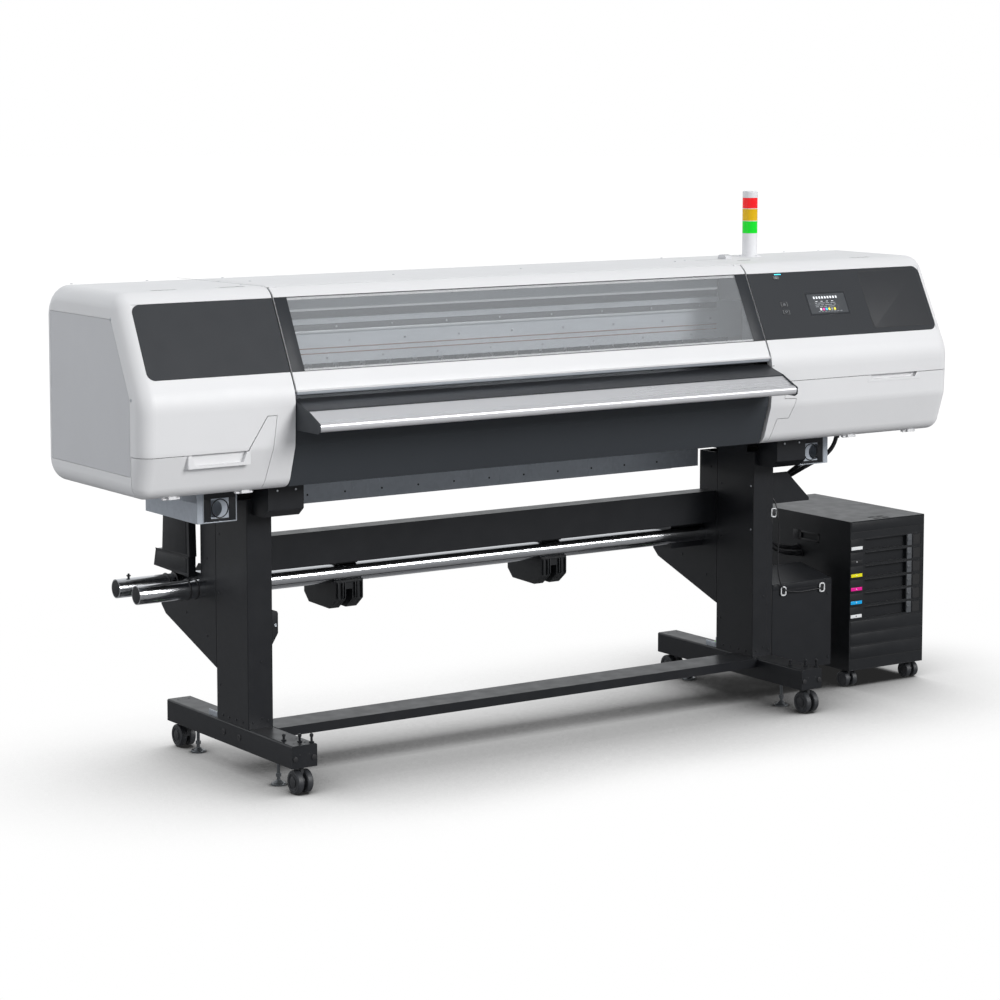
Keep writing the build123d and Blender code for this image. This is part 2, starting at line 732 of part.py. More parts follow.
def make_apron():
    """The dark front sheet under the bar, its floor flange, and the bar's two end cheeks."""
    x0, x1 = deck_span()
    t = APRON_THICK
    inset = APRON_INSET
    outline = [
        (BODY_FRONT + inset - 4, 1088),
        (BODY_FRONT + inset, 1040),
        (KNEE_Y + inset, KNEE_Z),
        (SILL_Y + inset, BODY_BOTTOM + WALL),
        (CHASSIS_FRONT, BODY_BOTTOM + WALL),
        (CHASSIS_FRONT, BODY_BOTTOM + WALL + t),
        (SILL_Y + inset + 2, BODY_BOTTOM + WALL + t),
        (KNEE_Y + inset + t, KNEE_Z + 1),
        (BODY_FRONT + inset + t, 1041),
        (BODY_FRONT + inset + t - 4, 1088),
    ]
    cheek = [
        (DECK_BREAK_Y - 8, DECK_TOP - 6),
        (DECK_FRONT_Y, DECK_FRONT_Z + CHEEK_LIP),
        (BAR_FRONT_Y + 22, 1071),
        (BAR_FRONT_Y - CHEEK_LIP, 1060),
        (BAR_FRONT_Y - CHEEK_LIP, 1040),
        (BAR_FRONT_Y + 10, 1032),
        (DECK_BREAK_Y - 4, 1032),
    ]
    sheet = prism_x(outline, x0, x1)
    return [sheet, prism_x(cheek, x0 - CHEEK, x0), prism_x(cheek, x1, x1 + CHEEK)]


def make_galvanised_plates():
    """The rear media guide, in wide and narrow plates."""
    x0, x1 = deck_span()
    y = PREHEATER_Y
    t = PREHEATER_THICK
    top = DECK_TOP - 1
    front = ROLLER_Y + FEED_RADIUS + 2
    path = FilletPolyline(
        (0, front, top - t / 2),
        (0, y - t / 2, top - t / 2),
        (0, y - t / 2, PREHEATER_BOTTOM),
        radius=PREHEATER_BEND,
    )
    section = make_face(offset(path, t / 2))
    widths = [FIRST_PLATE] + [NARROW_PLATE, WIDE_PLATE] * 2 + [NARROW_PLATE]
    solids = []
    x = x0
    for width in widths:
        solids.append(extrude(Pos(x, 0, 0) * section, amount=width - 1, dir=(1, 0, 0)))
        x += width
    last = extrude(Pos(x, 0, 0) * section, amount=x1 - x, dir=(1, 0, 0))
    last += block(x1 - 1, x1 + PLATE_UNDER, y - t, y, PREHEATER_BOTTOM, BODY_BOTTOM - 3)
    solids.append(last)
    return solids


def lifting_frame(x0):
    """A sheet steel channel under a housing, its front web pierced for a lifting pole."""
    x1 = x0 + LIFT_WIDTH
    front = LIFT_FRONT
    rear = front + LIFT_LENGTH
    low = BODY_BOTTOM - LIFT_HEIGHT
    frame = block(x0, x1, front, rear, low, BODY_BOTTOM)
    frame -= block(x0 + SHEET, x1 - SHEET, front + SHEET, rear + 1, low + SHEET, BODY_BOTTOM - SHEET)
    frame -= block(x0 - 1, x0 + SHEET + 1, front + SHEET, rear + 1, low + LIFT_SIDE, BODY_BOTTOM - SHEET)
    hole_z = low + LIFT_HOLE_UP
    return frame - rod_y((x0 + x1) / 2, front - 1, front + SHEET + 1, hole_z, LIFT_HOLE)


# ---- Stand ----

def column_places():
    return (LEFT_COLUMN_X, RIGHT_COLUMN_X)


def make_foot(x):
    """An inverted channel with closed ends, and pads for its casters and levelling feet."""
    half = COLUMN_WIDTH / 2
    w = FOOT_WALL
    foot = block(x - half, x + half, FOOT_FRONT, FOOT_REAR, FOOT_BOTTOM, FOOT_TOP)
    foot = fillet(foot.edges().filter_by(Axis.Y).sort_by(Axis.Z)[-2:], 5)
    foot -= block(x - half + w, x + half - w, FOOT_FRONT + w, FOOT_REAR - w, FOOT_BOTTOM - 1, FOOT_TOP - w)
    for y in CASTER_Y:
        pad = block(x - half + w, x + half - w, y - 34, y + 34, FOOT_BOTTOM, FOOT_BOTTOM + FOOT_PAD)
        foot += pad - rod_z(x, y, FOOT_BOTTOM - 1, FOOT_BOTTOM + FOOT_PAD + 1, 5 + RUNNING)
    for y in LEVELLER_Y:
        pad = block(x - half + w, x + half - w, y - 30, y + 30, FOOT_BOTTOM, FOOT_BOTTOM + FOOT_PAD)
        foot += pad - rod_z(x, y, FOOT_BOTTOM - 1, FOOT_BOTTOM + FOOT_PAD + 1, LEVELLER_ROD + RUNNING)
    return foot


def make_column(x):
    half = COLUMN_WIDTH / 2
    w = COLUMN_WALL
    column = block(x - half, x + half, COLUMN_FRONT, COLUMN_REAR, FOOT_TOP, COLUMN_TOP)
    column = fillet(column.edges().filter_by(Axis.Z), 3)
    return column - block(
        x - half + w, x + half - w, COLUMN_FRONT + w, COLUMN_REAR - w, FOOT_TOP - 1, COLUMN_TOP + 1
    )


def make_stand_beams():
    """The low crossbar between the feet, and the rear beam between the gusset plates."""
    x0 = LEFT_COLUMN_X + COLUMN_WIDTH / 2
    x1 = RIGHT_COLUMN_X - COLUMN_WIDTH / 2
    low = FOOT_TOP - CROSSBAR_HEIGHT
    rear = CROSSBAR_FRONT + CROSSBAR_DEPTH
    bar = block(x0, x1, CROSSBAR_FRONT, rear, low, FOOT_TOP)
    bar -= block(x0 + SHEET, x1 - SHEET, CROSSBAR_FRONT + SHEET, rear - SHEET, low - 1, FOOT_TOP - SHEET)
    w = SHEET
    y0 = BEAM_FRONT
    y1 = BEAM_FRONT + BEAM_DEPTH
    beam = block(x0, x1, y0, y1, BEAM_BOTTOM, BEAM_TOP)
    beam -= block(x0 - 1, x1 + 1, y0 + w, y1 - w, BEAM_BOTTOM + w, BEAM_TOP - w)
    return [bar, beam]


def gusset(x):
    """Two side plates behind a column that carry the beam and the guide shafts."""
    outline = [
        (COLUMN_REAR, 790),
        (188, 790),
        (188, 560),
        (350, 560),
        (440, 470),
        (440, 430),
        (413, 406),
        (COLUMN_REAR, 294),
    ]
    half = COLUMN_WIDTH / 2
    plates = [prism_x(outline, a, a + SHEET) for a in (x - half, x + half - SHEET)]
    for y in SHAFT_Y:
        plates = [plate - rod_x(x - half - 1, x + half + 1, y, SHAFT_Z, SHAFT_RADIUS) for plate in plates]
    inner = (x - half + SHEET, x + half - SHEET)
    plates.append(block(*inner, COLUMN_REAR, COLUMN_REAR + SHEET, 300, 790))
    plates.append(block(*inner, 188 - SHEET, 188, 700, 790))
    return plates


def top_bracket(x):
    """The box bracket between a column and the chassis, with a cable guard in front of it."""
    bracket = block(x - 71, x + 45, -92, 188, COLUMN_TOP, BODY_BOTTOM)
    bracket -= block(x - 71 + SHEET, x + 45 - SHEET, -93, 189, COLUMN_TOP + SHEET, BODY_BOTTOM - SHEET)
    side = [(-188, BODY_BOTTOM), (-92, BODY_BOTTOM), (-92, 768), (-160, 768), (-188, 790)]
    guard = prism_x(side, x - 24, x + 92) - prism_x(
        [(-188 + SHEET, BODY_BOTTOM + 1), (-91, BODY_BOTTOM + 1), (-91, 768 + SHEET), (-185, 791)],
        x - 24 + SHEET,
        x + 92 - SHEET,
    )
    return bracket + guard


def hose_guard():
    """The plate on the right column that keeps the ink hoses off the stand."""
    x0 = RIGHT_COLUMN_X + COLUMN_WIDTH / 2
    y = COLUMN_FRONT + 20
    plate = prism_y([(x0, 735), (x0 + 72, 735), (x0 + 166, 643), (x0 + 166, 634), (x0, 634)], y, y + SHEET)
    return plate + block(x0, x0 + 166, y, y + 30, 634, 637)


def make_stand_brackets():
    pieces = [plate for x in column_places() for plate in gusset(x)]
    pieces += [top_bracket(x) for x in column_places()]
    pieces.append(hose_guard())
    return pieces


def make_levellers(x):
    feet = []
    for y in LEVELLER_Y:
        foot = rod_z(x, y, 0, 6, LEVELLER_PAD)
        foot = chamfer(foot.edges().group_by(Axis.Z)[-1], 2)
        foot += Pos(x, y, 10) * Cone(15, 7, 8)
        foot += rod_z(x, y, 12, FOOT_TOP - 20, LEVELLER_ROD)
        foot += Pos(x, y, 24) * extrude(RegularPolygon(9, 6), amount=9)
        feet.append(foot)
    return feet


def make_fork(x, y, top, radius, lift, trail):
    """A caster's swivelling web, collar, stem and axle."""
    wheel_y = y + trail
    wheel_z = radius + lift
    web = rod_x(x - 5, x + 5, wheel_y, wheel_z, radius * 0.62)
    web += block(x - 5, x + 5, min(y, wheel_y) - 11, max(y, wheel_y) + 11, wheel_z, top - 5)
    collar = rod_z(x, y, top - 6, top - 0.5, 17)
    stem = rod_z(x, y, top - 1, top + FOOT_PAD - 1, 5)
    axle = rod_x(x - 23, x + 23, wheel_y, wheel_z, 4)
    return web + collar + stem + axle


def make_wheels(x, y, radius, lift, trail):
    """A twin wheel: two rounded discs on one axle, one each side of the web."""
    discs = []
    for side in (-1, 1):
        near = x + side * 5.6
        far = x + side * 25
        disc = rod_x(min(near, far), max(near, far), y + trail, radius + lift, radius)
        rims = disc.edges().filter_by(GeomType.CIRCLE)
        disc = fillet(rims, 4)
        dish = far - side * 1.5
        disc -= rod_x(min(dish, far + side), max(dish, far + side), y + trail, radius + lift, radius * 0.62)
        bore = rod_x(min(near, far) - 1, max(near, far) + 1, y + trail, radius + lift, 4 + RUNNING)
        discs.append(disc - bore)
    return discs


# ---- Media roll unit ----

def make_shafts():
    x0 = OPEN_LEFT - SHAFT_LEFT
    x1 = RIGHT_COLUMN_X + COLUMN_WIDTH / 2
    bore = SHAFT_RADIUS - SHAFT_WALL
    return [
        rod_x(x0, x1, y, SHAFT_Z, SHAFT_RADIUS) - rod_x(x0 - 1, x1 + 1, y, SHAFT_Z, bore)
        for y in SHAFT_Y
    ]


def make_media_boxes():
    """The take-up motor's covers at the left, and the holder block at the right."""
    x0 = LEFT_COLUMN_X - COLUMN_WIDTH / 2 - 24
    x1 = LEFT_COLUMN_X - COLUMN_WIDTH / 2
    clear = SHAFT_Z + SHAFT_RADIUS + 1
    lower = prism_x([(218, clear), (440, 552), (426, 604), (218, 606)], x0, x1)
    upper = prism_x([(212, 606), (385, 604), (367, 850), (222, 852)], x0, x1)
    half = COLUMN_WIDTH / 2
    block_x1 = RIGHT_COLUMN_X - half
    block_x0 = block_x1 - 130
    holder = block(block_x0, block_x1, 172, 345, SHAFT_Z - 42, SHAFT_Z + 84)
    for y in SHAFT_Y:
        holder -= rod_x(block_x0 - 1, block_x1 + 1, y, SHAFT_Z, SHAFT_RADIUS)
    return [lower + upper, holder]


def make_roll_rest(x):
    """A roll rest that slides on both guide shafts: a block under them, a web and a top clip."""
    half = REST_WIDTH / 2
    grip = SHAFT_RADIUS + SHAFT_CLEAR
    outline = [(150, 498), (340, 498), (340, 440), (312, 412), (190, 408), (150, 440)]
    rest = prism_x(outline, x - half, x + half)
    rest += block(x - half + 16, x + half - 16, SHAFT_Y[0] + grip + 1, SHAFT_Y[1] - grip - 1, 490, 552)
    rest += block(x - half + 10, x + half - 10, SHAFT_Y[0] - 14, SHAFT_Y[1] + 14, 546, 554)
    for y in SHAFT_Y:
        rest -= rod_x(x - half - 1, x + half + 1, y, SHAFT_Z, grip)
    rest -= block(x - 14, x + 10, 140, 240, 400, 470)
    return rest


# ---- Signal lamp ----

def make_signal_post():
    lenses = sum(LENS_HEIGHTS.values())
    z = BODY_TOP
    post = rod_z(LAMP_X, LAMP_Y, z, z + 5, LAMP_RADIUS + 5)
    post += rod_z(LAMP_X, LAMP_Y, z, z + LAMP_POST, LAMP_RADIUS)
    post += rod_z(LAMP_X, LAMP_Y, z + LAMP_POST, z + LAMP_POST + lenses, LAMP_CORE)
    cap = rod_z(LAMP_X, LAMP_Y, z + LAMP_POST + lenses, z + LAMP_POST + lenses + LAMP_CAP, LAMP_RADIUS)
    return post + fillet(cap.edges().group_by(Axis.Z)[-1], 3)


def make_lens(name):
    z = BODY_TOP + LAMP_POST
    for lens, height in LENS_HEIGHTS.items():
        if lens == name:
            break
        z += height
    ring = rod_z(LAMP_X, LAMP_Y, z, z + height, LAMP_RADIUS)
    return ring - rod_z(LAMP_X, LAMP_Y, z - 1, z + height + 1, LAMP_RADIUS - LAMP_WALL)


# ---- Ink cabinet ----

def tray_z(index):
    """The top of one tray's slot."""
    return TRAY_TOP - index * TRAY_PITCH


def make_cabinet():
    x0, x1 = CABINET_LEFT, CABINET_RIGHT
    w = CABINET_WALL
    face_y = CABINET_FRONT + TRAY_FACE
    low = tray_z(TRAY_COUNT)
    left = block(x0, x0 + w, CABINET_FRONT, CABINET_REAR, CABINET_BOTTOM, CABINET_TOP)
    left -= block(x0 - 1, x0 + w + 1, 42, 129, 470, 489)
    right = block(x1 - w, x1, CABINET_FRONT, CABINET_REAR, CABINET_BOTTOM, CABINET_TOP)
    top = block(x0 + w, x1 - w, CABINET_FRONT, CABINET_REAR, CABINET_TOP - w, CABINET_TOP)
    back = block(x0 + w, x1 - w, CABINET_REAR - w, CABINET_REAR, CABINET_BOTTOM + w, CABINET_TOP - w)
    upper = block(x0 + w, x1 - w, CABINET_FRONT, face_y, TRAY_TOP, CABINET_TOP - w)
    lower = block(x0 + w, x1 - w, CABINET_FRONT, face_y, CABINET_BOTTOM + w, low)
    floor = block(x0 + w, x1 - w, CABINET_FRONT, CABINET_REAR, CABINET_BOTTOM, CABINET_BOTTOM + w)
    rails = []
    for i in range(TRAY_COUNT):
        z = tray_z(i + 1) + TRAY_GAP / 2 + 2 - SHAFT_CLEAR
        for a, b in ((x0 + w, x0 + w + TRAY_SIDE + 4), (x1 - w - TRAY_SIDE - 4, x1 - w)):
            rails.append(block(a, b, face_y + 4, CABINET_REAR - w, z - TRAY_RAIL, z))
    forks = []
    for x in (x0 + CABINET_CASTER_IN, x1 - CABINET_CASTER_IN):
        y = CABINET_FRONT + CABINET_CASTER_FRONT
        bore = rod_z(x, y, CABINET_BOTTOM - 1, CABINET_BOTTOM + FOOT_PAD + 1, 5 + RUNNING)
        floor += block(x - 22, x + 22, y - 22, y + 22, CABINET_BOTTOM, CABINET_BOTTOM + FOOT_PAD)
        floor -= bore
        forks.append(rear_fork(x))
    return [left, right, top, back, upper, lower, floor] + rails + forks


def rear_fork(x):
    """A fixed caster's web and axle, under the cabinet's rear."""
    y = CABINET_REAR - CABINET_CASTER_REAR
    web = rod_x(x - 5, x + 5, y, CABINET_WHEEL, CABINET_WHEEL * 0.62)
    web += block(x - 5, x + 5, y - 14, y + 14, CABINET_WHEEL, CABINET_BOTTOM)
    web += block(x - 18, x + 18, y - 18, y + 18, CABINET_BOTTOM - 4, CABINET_BOTTOM)
    return web + rod_x(x - 23, x + 23, y, CABINET_WHEEL, 4)


def make_tray(index):
    """A drawer: its face with a finger pocket, and an open box that holds an ink pack."""
    x0 = CABINET_LEFT + CABINET_WALL + TRAY_GAP
    x1 = CABINET_RIGHT - CABINET_WALL - TRAY_GAP
    top = tray_z(index) - TRAY_GAP / 2
    low = tray_z(index + 1) + TRAY_GAP / 2
    face_y = CABINET_FRONT + TRAY_FACE
    face = block(x0, x1, CABINET_FRONT, face_y, low, top)
    pocket_x = CABINET_LEFT + POCKET_FROM
    face -= block(
        pocket_x, pocket_x + POCKET_LENGTH, CABINET_FRONT - 1, CABINET_FRONT + POCKET_DEPTH, low + 5, top - 4
    )
    w = TRAY_WALL
    a, b = x0 + 1, x1 - 1
    rear = face_y + TRAY_DEPTH
    base = block(a, b, face_y, rear, low + 2, low + 2 + w)
    sides = [block(x, x + w, face_y, rear, low + 2 + w, top - 6) for x in (a, b - w)]
    back = block(a + w, b - w, rear - w, rear, low + 2 + w, top - 6)
    return [face, base, back] + sides


# ---- Waste box, hoses, sensor lead ----

def make_waste_box():
    """The waste bottle's cover on the right column: a sheet box, open underneath."""
    x0 = RIGHT_COLUMN_X + COLUMN_WIDTH / 2
    x1 = x0 + WASTE_WIDTH
    y0 = COLUMN_FRONT
    y1 = y0 + WASTE_DEPTH
    w = SHEET
    outer = [(y0, WASTE_BOTTOM), (y0, WASTE_FRONT_TOP), (y1, WASTE_REAR_TOP), (y1, WASTE_BOTTOM)]
    inner = [
        (y0 + w, WASTE_BOTTOM - 1),
        (y0 + w, WASTE_FRONT_TOP - w),
        (y1 - w, WASTE_REAR_TOP - w),
        (y1 - w, WASTE_BOTTOM - 1),
    ]
    return prism_x(outer, x0, x1) - prism_x(inner, x0 + w, x1 - w)


def smooth_tube(points, radius, share=0.45):
    """A tube of straight runs and tangent arcs, each arc as large as its two runs allow."""
    corners = [Vector(*p) for p in points]
    radii = []
    for a, b, c in zip(corners, corners[1:], corners[2:]):
        turn = math.radians((b - a).get_angle(c - b))
        shorter = min((b - a).length, (c - b).length)
        radii.append(share * shorter / math.tan(turn / 2))
    path = FilletPolyline(*corners, radius=radii)
    start = Plane(origin=path @ 0, z_dir=path % 0)
    tube = sweep(start * Circle(radius), path=path)
    want = math.pi * radius**2 * path.length
    print(f"tube {path.length:.0f} mm, radii {[round(r) for r in radii]}, volume {tube.volume / want:.4f}")
    return tube


def hose_route(index):
    """From the right housing's underside, past the guard, to the ink cabinet's side."""
    x = OPEN_RIGHT + HOSE_EXIT_X[index]
    back = 18 * index
    column = RIGHT_COLUMN_X + COLUMN_WIDTH / 2
    return [
        (x, HOSE_EXIT_Y, BODY_BOTTOM + WALL),
        (x, HOSE_EXIT_Y, BODY_BOTTOM - 66),
        (x - 62 - 20 * index, HOSE_EXIT_Y + 70, 742 - 6 * index),
        (column + 128 + back, 62 + back, 668),
        (column + 106 + back, 98 + back, 590),
        (column + 110 + back, 108 + back, 500),
        (CABINET_LEFT - 86 + back / 2, 128 + back, 418 + back),
        (CABINET_LEFT, 128 + back, 418 + back),
    ]


def lead_route():
    """The sensor lead: from the column's clip down to the waste box's two clips."""
    x = RIGHT_COLUMN_X + COLUMN_WIDTH / 2
    y = COLUMN_FRONT - 8
    return [
        (x, COLUMN_FRONT + 12, 655),
        (x + 14, COLUMN_FRONT + 12, 655),
        (x + 12, y, 610),
        (x + 20, y - 1, 545),
        (x + 14, y, 475),
        (x + 15, y - 1, 405),
        (x + 36, y, 352),
        (x + 92, y - 1, 341),
        (x + 148, y, 341),
        (x + 204, y - 4, 345),
        (x + 204, COLUMN_FRONT, 345),
    ]


def make_hoses():
    return [smooth_tube(hose_route(i), HOSE_RADIUS) for i in range(2)] + [
        smooth_tube(lead_route(), LEAD_RADIUS)
    ]


def caster_nodes():
    """Every caster as a swivelling fork and its twin wheel."""
    nodes = {}
    for side, x in (("left", LEFT_COLUMN_X), ("right", RIGHT_COLUMN_X)):
        for end, y, trail in (
            ("front", CASTER_Y[0], -CASTER_TRAIL),
            ("rear", CASTER_Y[1], CASTER_TRAIL),
        ):
            name = f"{side}_{end}_caster"
            nodes[f"{name}_fork"] = make_fork(x, y, FOOT_BOTTOM, CASTER_RADIUS, CASTER_LIFT, trail)
            nodes[f"{name}_wheels"] = make_wheels(x, y, CASTER_RADIUS, CASTER_LIFT, trail)
    y = CABINET_FRONT + CABINET_CASTER_FRONT
    for side, x in (
        ("left", CABINET_LEFT + CABINET_CASTER_IN),
        ("right", CABINET_RIGHT - CABINET_CASTER_IN),
    ):
        name = f"cabinet_{side}_caster"
        nodes[f"{name}_fork"] = make_fork(x, y, CABINET_BOTTOM, CABINET_WHEEL, 0, -10)
        nodes[f"{name}_wheels"] = make_wheels(x, y, CABINET_WHEEL, 0, -10)
    rear_y = CABINET_REAR - CABINET_CASTER_REAR
    nodes["cabinet_rear_wheels"] = make_wheels(
        CABINET_LEFT + CABINET_CASTER_IN, rear_y, CABINET_WHEEL, 0, 0
    ) + make_wheels(CABINET_RIGHT - CABINET_CASTER_IN, rear_y, CABINET_WHEEL, 0, 0)
    return nodes


def all_nodes():
    left_housing, left_door = make_left_housing()
    right_housing, right_door = make_right_housing()
    hood_frame, hood_window = make_hood()
    nodes = {
        "left_housing": left_housing,
        "left_door": left_door,
        "right_housing": right_housing,
        "right_door": right_door,
        "end_panels": make_end_panels(),
        "fascia_panels": make_fascias(),
        "touch_screen": screen_slab(0, -FASCIA_THICK, 0.2),
        "hood_frame": hood_frame,
        "hood_window": hood_window,
        "centre_covers": make_centre_covers(),
        "chassis_base": make_chassis(),
        "carriage_rail": make_rail(),
        "print_carriage": make_carriage(),
        "capping_station": make_capping_station(),
        "feed_roller": make_feed_roller(),
        "pinch_rollers": make_pinch_rollers(),
        "media_deck": make_deck(),
        "guide_bar": make_guide_bar(),
        "front_apron": make_apron(),
        "galvanised_plates": make_galvanised_plates(),
        "lifting_frames": [lifting_frame(OPEN_LEFT - 225), lifting_frame(OPEN_RIGHT + 262)],
        "stand_columns": [make_column(x) for x in column_places()],
        "stand_feet": [make_foot(x) for x in column_places()],
        "stand_beams": make_stand_beams(),
        "stand_brackets": make_stand_brackets(),
        "guide_shafts": make_shafts(),
        "media_unit_boxes": make_media_boxes(),
        "signal_post": make_signal_post(),
        "cabinet_shell": make_cabinet(),
        "waste_box": make_waste_box(),
        "ink_hoses": make_hoses(),
        "left_levellers": make_levellers(LEFT_COLUMN_X),
        "right_levellers": make_levellers(RIGHT_COLUMN_X),
    }
    for name in key_places():
        nodes[name] = make_key(name)
    for name in LENS_HEIGHTS:
        nodes[f"lamp_lens_{name}"] = make_lens(name)
    for i in range(TRAY_COUNT):
        nodes[f"ink_tray_{i + 1}"] = make_tray(i)
    for i, x in enumerate(REST_AT):
        nodes[f"roll_rest_{i + 1}"] = make_roll_rest(LEFT_COLUMN_X + x)
    nodes.update(caster_nodes())
    return nodes


def main():
    os.makedirs("parts", exist_ok=True)
    for name, shape in all_nodes().items():
        if isinstance(shape, list):
            shape = Compound(children=[s for piece in shape for s in piece.solids()])
        export_step(shape, f"parts/{name}.step")


main()
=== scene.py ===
import json
import math

import bmesh
import bpy
from mathutils import Matrix, Vector


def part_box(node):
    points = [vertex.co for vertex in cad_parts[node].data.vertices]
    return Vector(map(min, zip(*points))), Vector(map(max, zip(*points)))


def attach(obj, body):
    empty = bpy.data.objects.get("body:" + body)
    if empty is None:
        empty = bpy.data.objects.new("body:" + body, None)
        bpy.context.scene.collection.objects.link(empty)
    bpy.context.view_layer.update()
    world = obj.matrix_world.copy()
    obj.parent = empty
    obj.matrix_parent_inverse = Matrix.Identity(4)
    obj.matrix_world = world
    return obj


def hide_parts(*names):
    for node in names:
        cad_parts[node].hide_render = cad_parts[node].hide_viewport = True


# Wide-format roll-to-roll printer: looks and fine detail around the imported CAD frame.
# Lengths are millimetres in the row frame until a mesh is made.
# +X runs to the ink cabinet, and -Y is the operator's side.

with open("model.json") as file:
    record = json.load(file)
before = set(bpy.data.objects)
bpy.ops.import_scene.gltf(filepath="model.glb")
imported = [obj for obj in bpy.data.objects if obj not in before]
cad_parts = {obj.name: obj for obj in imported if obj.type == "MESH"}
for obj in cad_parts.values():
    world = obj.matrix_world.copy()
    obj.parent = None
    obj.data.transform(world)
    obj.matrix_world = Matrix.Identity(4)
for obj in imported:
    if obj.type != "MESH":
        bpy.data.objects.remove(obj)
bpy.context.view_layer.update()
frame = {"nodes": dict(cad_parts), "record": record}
MM = 0.001


class Span:
    """A CAD node's box at rest, in millimetres."""

    def __init__(self, node):
        low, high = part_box(node)
        self.x0, self.y0, self.z0 = (value / MM for value in low)
        self.x1, self.y1, self.z1 = (value / MM for value in high)
        self.x = (self.x0 + self.x1) / 2
        self.y = (self.y0 + self.y1) / 2
        self.z = (self.z0 + self.z1) / 2


LEFT_BODY = Span("left_housing")
RIGHT_BODY = Span("right_housing")
HOOD = Span("hood_frame")
PANE = Span("hood_window")
CABINET = Span("cabinet_shell")
OPEN_LEFT = LEFT_BODY.x1
OPEN_RIGHT = RIGHT_BODY.x0

# The slanted face: its two unit vectors, and its middle on the outer surface.
SLOPE_UP = Vector((0, 147.7, 291.0)).normalized()
SLOPE_OUT = Vector((0, -SLOPE_UP.z, SLOPE_UP.y))
PANE_THICK = 3.0
SLOPE_MID = Vector((0, PANE.y, PANE.z)) + SLOPE_OUT * PANE_THICK / 2
SLOPE_HALF = 112.5

X_AXIS = Vector((1, 0, 0))
Y_AXIS = Vector((0, 1, 0))
Z_AXIS = Vector((0, 0, 1))


# ---- Materials ----

# A noise texture's output lies mostly between these two values.
NOISE_LOW, NOISE_HIGH = 0.3, 0.7
# How many times the tint, the smudges and the zinc crystals repeat in a metre.
TINT_SCALE = 5.0
SMUDGE_SCALE = 22.0
SPANGLE_SCALE = 85.0
COAT_ROUGHNESS = 0.12


def empty_tree(block):
    """A material's or world's node tree, with nothing in it."""
    block.use_nodes = True
    block.node_tree.nodes.clear()
    return block.node_tree


def add_node(tree, kind, **values):
    """A node with the named inputs set."""
    node = tree.nodes.new(kind)
    for name, value in values.items():
        node.inputs[name.replace("_", " ")].default_value = value
    return node


def noise(tree, source, scale, detail=2.0, stretch=None):
    """A noise texture over the object's own coordinates, in metres."""
    if stretch:
        mapping = add_node(tree, "ShaderNodeMapping", Scale=stretch)
        tree.links.new(source, mapping.inputs["Vector"])
        source = mapping.outputs["Vector"]
    texture = add_node(tree, "ShaderNodeTexNoise", Scale=scale, Detail=detail)
    tree.links.new(source, texture.inputs["Vector"])
    return texture.outputs["Fac"]


def map_range(tree, source, from_low, from_high, low, high):
    """A Map Range node on a socket."""
    node = tree.nodes.new("ShaderNodeMapRange")
    for name, value in (("From Min", from_low), ("From Max", from_high), ("To Min", low), ("To Max", high)):
        node.inputs[name].default_value = value
    tree.links.new(source, node.inputs["Value"])
    return node


def ranged(tree, source, low, high):
    """A noise texture's output, spread from low to high."""
    return map_range(tree, source, NOISE_LOW, NOISE_HIGH, low, high).outputs["Result"]


def mixed(tree, factor, first, second):
    """Two shader sockets mixed by a factor socket."""
    node = tree.nodes.new("ShaderNodeMixShader")
    tree.links.new(factor, node.inputs["Fac"])
    tree.links.new(first, node.inputs[1])
    tree.links.new(second, node.inputs[2])
    return node.outputs["Shader"]


def by_ray(tree, others, camera):
    """One shader for camera rays, and another for all other rays."""
    path = tree.nodes.new("ShaderNodeLightPath")
    return mixed(tree, path.outputs["Is Camera Ray"], others, camera)


def blend_colours(tree, factor, first, second):
    """A colour mixed between two plain colours, or sockets, by a factor socket."""
    node = tree.nodes.new("ShaderNodeMix")
    node.data_type = "RGBA"
    tree.links.new(factor, node.inputs["Factor"])
    sockets = [s for s in node.inputs if s.type == "RGBA"]
    for socket, value in zip(sockets, (first, second)):
        if isinstance(value, bpy.types.NodeSocket):
            tree.links.new(value, socket)
        else:
            socket.default_value = (*value, 1)
    return [s for s in node.outputs if s.type == "RGBA"][0]


def shade(colour, factor):
    """A colour made darker or lighter."""
    return tuple(min(1.0, channel * factor) for channel in colour)


